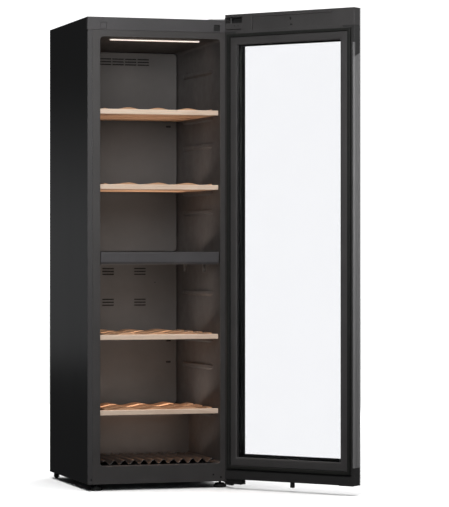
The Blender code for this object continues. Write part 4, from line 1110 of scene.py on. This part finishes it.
# The reflected card fades in and out between these slopes, and between these sideways directions.
CARD_SLOPES = ((0.072, 0.005), (-0.047, -0.037))
CARD_SIDES = ((-0.75, -0.45), (-0.05, -0.18))


def build_world():
    """A studio seen only in reflections; the camera, and glass in front of it, see plain white."""
    world = bpy.data.worlds.new("studio")
    world.use_nodes = True
    bpy.context.scene.world = world
    w = Graph(world.node_tree)

    def window(value, edges):
        eased = [w.spread(value, 0.0, 1.0, start, end, "SMOOTHSTEP") for start, end in edges]
        return w.math("MULTIPLY", *eased)

    x, y, z = w.axes(w.add("ShaderNodeTexCoord").outputs["Generated"])
    flat = w.math("SQRT", w.math("ADD", w.math("MULTIPLY", x, x), w.math("MULTIPLY", y, y)))
    flat = w.math("MAXIMUM", flat, 0.001)
    slope, side = w.math("DIVIDE", z, flat), w.math("DIVIDE", x, flat)
    card = w.math("MULTIPLY", window(slope, CARD_SLOPES), window(side, CARD_SIDES))
    card = w.math("MULTIPLY", card, w.math("GREATER_THAN", y, 0.0))
    level = w.math("ADD", w.math("MULTIPLY", card, CARD_LEVEL), STUDIO_LEVEL)
    rays = w.add("ShaderNodeLightPath").outputs
    bounced = w.math("ADD", rays["Diffuse Depth"], rays["Glossy Depth"])
    through = w.math("MULTIPLY", rays["Is Transmission Ray"], w.math("LESS_THAN", bounced, 0.5))
    seen = w.math("MAXIMUM", rays["Is Camera Ray"], through)
    studio = w.fill(w.tree.nodes["Background"], Color=(0.97, 0.98, 1.0), Strength=level)
    white = w.fill(w.add("ShaderNodeBackground"), Color=(1.0, 1.0, 1.0), Strength=WHITE_LEVEL)
    both = w.add("ShaderNodeMixShader")
    for socket, source in zip(both.inputs, (seen, studio.outputs[0], white.outputs[0])):
        w.link(source, socket)
    w.fill(w.tree.nodes["World Output"], Surface=both.outputs[0])


FOCAL_PIXELS = 2562.06
IMAGE = (449, 507)
OPTICAL_CENTRE = (224.417, 254.047)
CAMERA_PLACE = Vector((-2.7229, -9.7549, 0.9303))
CAMERA_YAW = math.radians(17.02)


def build_camera():
    data = bpy.data.cameras.new("camera")
    data.sensor_width = 36.0
    data.lens = FOCAL_PIXELS * data.sensor_width / IMAGE[1]
    data.shift_x = (IMAGE[0] / 2 - OPTICAL_CENTRE[0]) / IMAGE[1]
    data.shift_y = (OPTICAL_CENTRE[1] - IMAGE[1] / 2) / IMAGE[1]
    data.clip_end = 100.0
    camera = link("camera", data)
    camera.location = CAMERA_PLACE + SHIFT
    camera.rotation_euler = (math.pi / 2, 0.0, -CAMERA_YAW)
    bpy.context.scene.camera = camera


dress_cad_nodes()
build_pieces()
build_floor()
build_light()
build_camera()
bpy.context.scene.view_settings.view_transform = "Standard"
